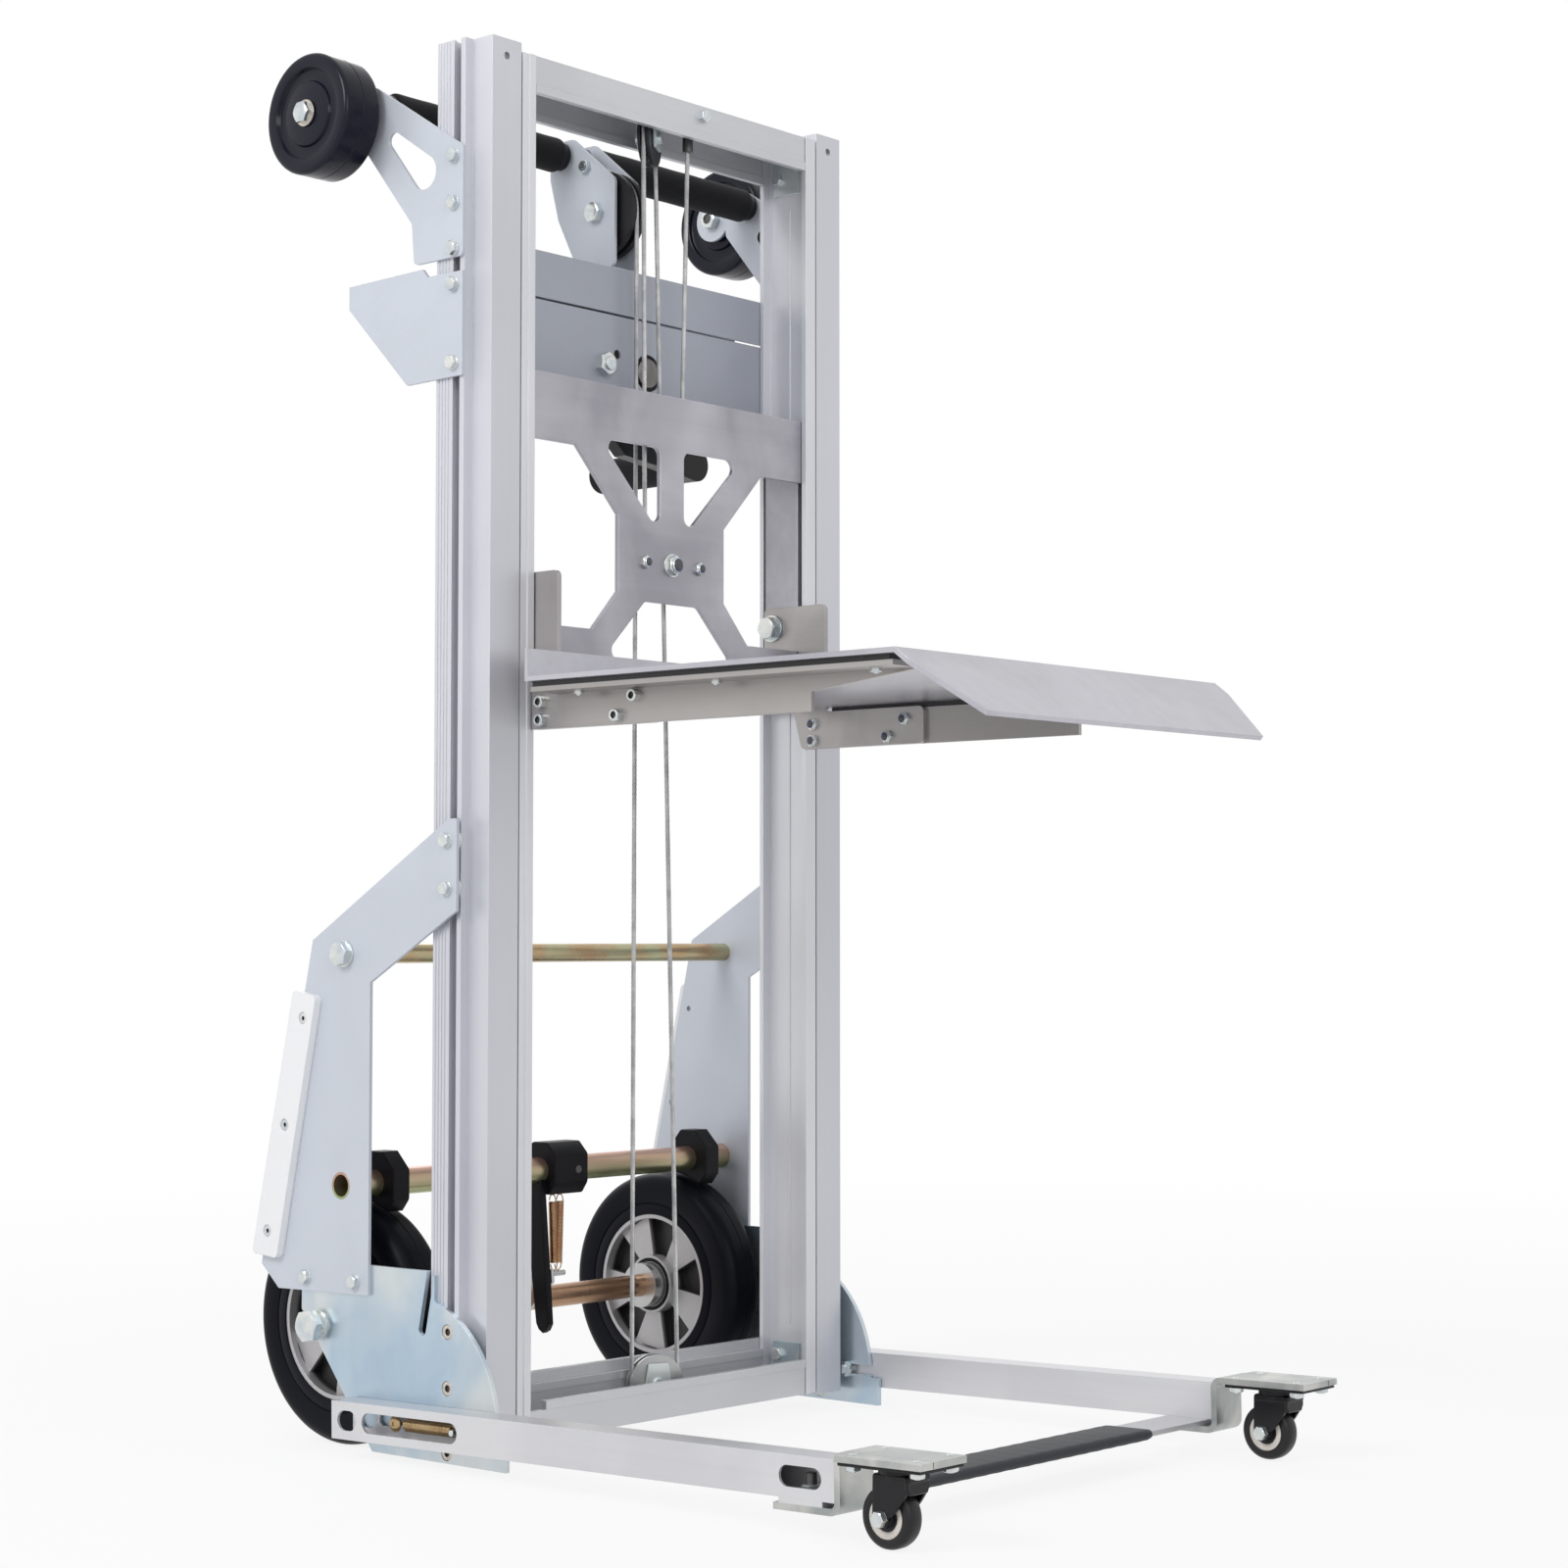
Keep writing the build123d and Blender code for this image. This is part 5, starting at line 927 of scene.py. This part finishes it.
# Bolts of the base: zinc plated hex bolts with washers, through plates and brackets into the T-slots.
# Countersunk socket screws hold cam plates and skids; a cross-recess screw is each leg's pivot.
SLOT_Y = 31.0
PLATE_IN = 224.0
PLATE_OUT = 227.0
SIDE_OUT = 231.0
CAM_OUT = 228.0
LOW_BOLTS = ((197.0, 123.0), (137.0, 123.0))
TIE_ROD = (152.0, 387.0)
KEEPER = (88.0, 1065.0)
warm_nickel = metal("warm_nickel", (0.56, 0.50, 0.44), (0.66, 0.60, 0.54), (120.0, 120.0, 120.0), 0.2,
                    60.0, 0.2, 0.26, 0.85, edge=0.0003)
blue_nylon = coated("blue_nylon", (0.03, 0.09, 0.35), 0.4, 500.0, 0.1, 0.03)


def washer(shape, origin, axis, outer, thick, slot=0):
    """Flat turned disc in mm on a point in metres, its outer rim broken."""
    profile = [(0, 0), (0, outer), (thick - 0.25, outer), (thick, outer - 0.25), (thick, 0)]
    turn(shape, origin, axis, profile, 40, slot)


def socket_head(shape, origin, axis, radius, height, flats, slot=0, recess_slot=0):
    """Turned screw head with a hexagon recess, in mm on a point in metres; the recess has its own slot,
    given a dark finish as painted shade.
    """
    head = [(0, 0), (0, radius), (height - 0.6, radius), (height, radius - 0.6), (height, flats * 0.62),
            (height - 0.3, flats * 0.56)]
    turn(shape, origin, axis, head, 36, slot)
    axis = Vector(axis).normalized()
    axes = cross_axes(axis)
    rings = []
    for along, mouth in ((height - 0.3, flats * 0.56), (height - min(2.6, height * 0.7), None)):
        ring = []
        for k in range(HEX_STEPS):
            out = spoke(axes, TURN * k / HEX_STEPS) * (mouth or hex_reach(flats, k))
            ring.append(shape.verts.new(origin + (axis * along + out) * MM))
        rings.append(ring)
    rings.append([shape.verts.new(origin + axis * (height - min(2.8, height * 0.75)) * MM)])
    skin(shape, rings, recess_slot)
    bmesh.ops.remove_doubles(shape, verts=shape.verts[:], dist=1e-6)


def shank(shape, start, axis, radius, length, slot=0):
    """Plain bolt shank with broken ends, in mm from a point in metres."""
    profile = [(0, 0), (0, radius - 0.4), (0.4, radius), (length - 0.4, radius), (length, radius - 0.4),
               (length, 0)]
    turn(shape, start, axis, profile, 20, slot)


pivot_head = [(0, 0), (0, 6.5), (1.2, 6.4), (2.3, 5.3), (2.9, 3.2), (3.0, 1.6), (1.6, 0.9), (1.5, 0)]
slot_bolts = [(PLATE_OUT, SLOT_Y, z) for z in (1025, 987, 950, 921, 858)]
slot_bolts += [(SIDE_OUT, SLOT_Y, 477), (SIDE_OUT, SLOT_Y, 439)]
slot_bolts += [(SIDE_OUT, *low) for low in LOW_BOLTS]
shape = bmesh.new()
for side in (-1, 1):
    out = Vector((side, 0, 0))
    for n, (x, y, z) in enumerate(slot_bolts):
        washer(shape, at(side * x, y, z), out, 5.8, 1.0)
        hexagon(shape, at(side * (x + 1.0), y, z), out, 10.0, 4.4, 0, 0.4 + n * 0.7)
    for z in (477, 439):
        washer(shape, at(side * PLATE_IN, SLOT_Y, z), out, 10.0, 4.0)
    for low in LOW_BOLTS:
        hexagon(shape, at(side * PLATE_IN, *low), -out, 13.0, 6.0, 0, 0.3, 3.6, 2)
        shank(shape, at(side * 217, *low), out, 3.6, 8.0, 2)
    washer(shape, at(side * SIDE_OUT, *TIE_ROD), out, 11.0, 2.0)
    hexagon(shape, at(side * (SIDE_OUT + 2), *TIE_ROD), out, 18.0, 7.0, 0, 0.5)
    washer(shape, at(side * CAM_OUT, *WHEEL), out, 12.0, 1.4)
    hexagon(shape, at(side * (CAM_OUT + 1.4), *WHEEL), out, 20.0, 4.0, 0, 0.2)
    washer(shape, at(side * (CAM_OUT + 5.2), *WHEEL), out, 7.5, 1.2)
    hexagon(shape, at(side * (CAM_OUT + 6.2), *WHEEL), out, 24.0, 7.6, 0, 0.45)
    for y, z in ((196, 334), (218, 246), (239, 158)):
        socket_head(shape, at(side * 234.5, y, z), out, 5.0, 3.1, 3.0, 0, 2)
    for z in (91, 47, -3):
        socket_head(shape, at(side * 224.5, SLOT_Y, z), out, 6.0, 3.1, 5.0, 1, 2)
    hexagon(shape, at(side * PLATE_IN, *PIVOT), -out, 16.0, 5.0)
    shank(shape, at(side * 219.5, *PIVOT), out, 5.0, 23.0)
    turn(shape, at(side * 241.5, *PIVOT), out, pivot_head, 32, 3)
    hexagon(shape, at(side * PLATE_IN, *TOP_WHEEL), -out, 16.0, 8.0, 0, 0.2, 4.8, 2)
    shank(shape, at(side * 217.5, *TOP_WHEEL), out, 5.0, 56.0)
    washer(shape, at(side * 270.05, *TOP_WHEEL), out, 11.0, 1.5, 1)
    hexagon(shape, at(side * 271.55, *TOP_WHEEL), out, 16.0, 5.4, 0, 0.25)
shank(shape, at(DRUM_C[0], 44, DRUM_C[1]), (0, 1, 0), 6.0, 110.0)
hexagon(shape, at(DRUM_C[0], 54, DRUM_C[1]), (0, -1, 0), 18.0, 8.0, 0, 0.2, 5.6, 2)
hexagon(shape, at(DRUM_C[0], 149, DRUM_C[1]), (0, 1, 0), 18.0, 7.5, 0, 0.2)
shank(shape, at(-26, *HEAD_AXLE), (1, 0, 0), 5.0, 41.0)
hexagon(shape, at(-20, *HEAD_AXLE), (-1, 0, 0), 16.0, 7.0, 0, 0.3)
hexagon(shape, at(10, *HEAD_AXLE), (1, 0, 0), 16.0, 6.0, 0, 0.3, 4.8, 2)
for x in (-17.0, 3.3):
    washer(shape, at(x, *HEAD_AXLE), (1, 0, 0), 9.0, 3.7)
shank(shape, at(-25, *KEEPER), (1, 0, 0), 3.0, 40.0)
hexagon(shape, at(-20, *KEEPER), (-1, 0, 0), 10.0, 5.0)
hexagon(shape, at(10, *KEEPER), (1, 0, 0), 10.0, 4.6, 0, 0.2)
finishes = [bolt_zinc, warm_nickel, recess_shade_and_bolt_ends, spring_zinc]
piece(shape, "frame_hex_bolts", finishes, "mast_base", ["frame_bolts"])

# Bolts of the beams: small hex bolts through the corner angles, and the rope's end fitting in the top beam.
# Their nuts lie inside the beams.
TOP_FACE = 1106.0
LOW_FACE = 9.0
shape = bmesh.new()
for side in (-1, 1):
    for z, way in ((TOP_FACE, -1), (LOW_FACE, 1)):
        hexagon(shape, at(side * 160.5, 36, z), (0, 0, way), 10.0, 6.4, 0, 0.3, 3.0, 1)
        shank(shape, at(side * 160.5, 36, z), (0, 0, way), 3.0, 9.5, 1)
        hexagon(shape, at(side * 174.5, 38, z + way * 24), (-side, 0, 0), 10.0, 4.0, 0, 0.1)
shank(shape, at(*rope_end.xy, 1075), (0, 0, 1), 4.5, 34.0, 1)
hexagon(shape, at(*rope_end.xy, 1102), (0, 0, 1), 13.0, 7.0, 0, 0.2, 4.4, 1)
hexagon(shape, at(33, 0, 1104), (0, -1, 0), 10.0, 4.9, 0, 0.2)
shank(shape, at(33, -0.5, 1104), (0, 1, 0), 3.0, 9.0)
hexagon(shape, at(33, 4, 1104), (0, 1, 0), 10.0, 5.0, 0, 0.2)
piece(shape, "beam_hex_bolts", [bolt_zinc, recess_shade_and_bolt_ends], "inner_mast", ["beam_bolts"])

# Bolts of the carriage: the pulley's axle with nut and washer, two rope guards and the platform's pivots.
# The front nuts are self-locking, with a nylon ring in a thin collar.
CAR_FACE = 4.5
HINGE = (34.0, 675.0)


def lock_nut(shape, origin, axis, flats, height, bolt):
    """Self-locking nut in mm: hexagon, narrower collar, nylon ring and the bolt's dark end."""
    hexagon(shape, origin, axis, flats, height * 0.7, 0, 0.25)
    axis = Vector(axis).normalized()
    collar = [(height * 0.6, 0), (height * 0.6, flats * 0.44), (height * 0.9, flats * 0.43),
              (height, flats * 0.37), (height, bolt + 0.7)]
    turn(shape, origin, axis, collar, 36, 0)
    turn(shape, origin, axis, [(height, bolt + 0.7), (height - 0.3, bolt)], 36, 2)
    turn(shape, origin, axis, [(height - 0.3, bolt), (height + 0.3, bolt), (height + 0.6, bolt - 0.5),
                               (height + 0.6, 0)], 36, 1)
    bmesh.ops.remove_doubles(shape, verts=shape.verts[:], dist=1e-6)


shape = bmesh.new()
washer(shape, at(0, CAR_FACE, CAR_PULLEY_Z), (0, -1, 0), 10.0, 1.2)
lock_nut(shape, at(0, CAR_FACE - 1.2, CAR_PULLEY_Z), (0, -1, 0), 15.0, 6.6, 4.8)
shank(shape, at(0, 0, CAR_PULLEY_Z), (0, 1, 0), 5.0, 24.0)
hexagon(shape, at(0, 22, CAR_PULLEY_Z), (0, 1, 0), 15.0, 6.0)
washer(shape, at(0, 8.5, CAR_PULLEY_Z), (0, 1, 0), 8.0, 2.2)
for x in (-33, 33):
    lock_nut(shape, at(x, CAR_FACE, CAR_PULLEY_Z), (0, -1, 0), 10.0, 5.0, 2.9)
    shank(shape, at(x, 1, CAR_PULLEY_Z), (0, 1, 0), 3.0, 20.0)
    hexagon(shape, at(x, 21, CAR_PULLEY_Z), (0, 1, 0), 10.0, 2.2)
flat_head = [(0, 0), (0, 11.0), (3.9, 11.0), (4.5, 10.4), (4.5, 0)]
for side in (-1, 1):
    inward = (-side, 0, 0)
    washer(shape, at(side * 162.2, *HINGE), inward, 12.0, 2.2)
    hexagon(shape, at(side * 160, *HINGE), inward, 18.0, 7.5, 0, 0.35)
    shank(shape, at(side * 159, *HINGE), (side, 0, 0), 6.0, 16.4)
    turn(shape, at(side * 171, *HINGE), (side, 0, 0), flat_head, 40)
piece(shape, "carriage_hex_bolts", [bolt_zinc, recess_shade_and_bolt_ends, blue_nylon], "carriage", ["carriage_bolts"])

# Bolts of the platform: four socket screws a side through rail and hinge bracket, with lock nuts inside.
# Countersunk screws hold the deck; their small nuts show under the rails' flanges.
shape = bmesh.new()
for side in (-1, 1):
    for y, z in ((-14, 587.5), (-14, 573), (-117, 587.5), (-98, 573)):
        socket_head(shape, at(side * 170.5, y, z), (side, 0, 0), 5.0, 6.0, 5.0, 0, 1)
        lock_nut(shape, at(side * 162.5, y, z), (-side, 0, 0), 10.0, 5.0, 2.9)
        shank(shape, at(side * 160, y, z), (side, 0, 0), 3.0, 11.0)
    for y in (-70, -215, -370):
        socket_head(shape, at(side * 185.75, y, 602.6), (0, 0, 1), 4.45, 2.35, 3.0, 0, 1)
        hexagon(shape, at(side * 185.75, y, 593), (0, 0, -1), 8.0, 3.0, 0, 0.2)
        shank(shape, at(side * 185.75, y, 589), (0, 0, 1), 2.0, 14.0)
piece(shape, "platform_screws", [bolt_zinc, recess_shade_and_bolt_ends, blue_nylon], "platform", ["platform_bolts"])

# Bolts of the legs: a foot bolt and four caster bolts a side, whose nuts hang below the caster's plate.
# Each leg's spring hangs on a cross pin; the lock pins that meet the cam notches are turned steel.
FOOT_X = 241.0
dome = [(0, 0), (0, 8.0), (0.8, 7.4), (1.8, 4.5), (2.0, 0)]
shape = bmesh.new()
for side in (-1, 1):
    turn(shape, leg_at(side * FOOT_X, SLEEVE_Y, -7), -LEG_UP, dome, 32)
    shank(shape, leg_at(side * FOOT_X, SLEEVE_Y, -6), LEG_UP, 4.0, 25.0, 1)
    hexagon(shape, leg_at(side * FOOT_X, SLEEVE_Y, 4.5), LEG_UP, 13.0, 6.5, 0, 0.2)
    shank(shape, leg_at(side * 228.7, 0, 17), (side, 0, 0), 2.5, 23.8)
    for dx in (-18, 18):
        for dy in (-28, 28):
            x, y = side * (CASTER[0] + dx), CASTER[1] + dy
            shank(shape, leg_at(x, y, 26), LEG_UP, 2.8, 12.4)
            hexagon(shape, leg_at(x, y, 30.5), -LEG_UP, 10.0, 3.8, 0, 0.3 + dx)
piece(shape, "leg_hex_bolts", [bolt_zinc, recess_shade_and_bolt_ends], "legs", ["leg_bolts"])
dress(bolt_zinc, "lock_pins")
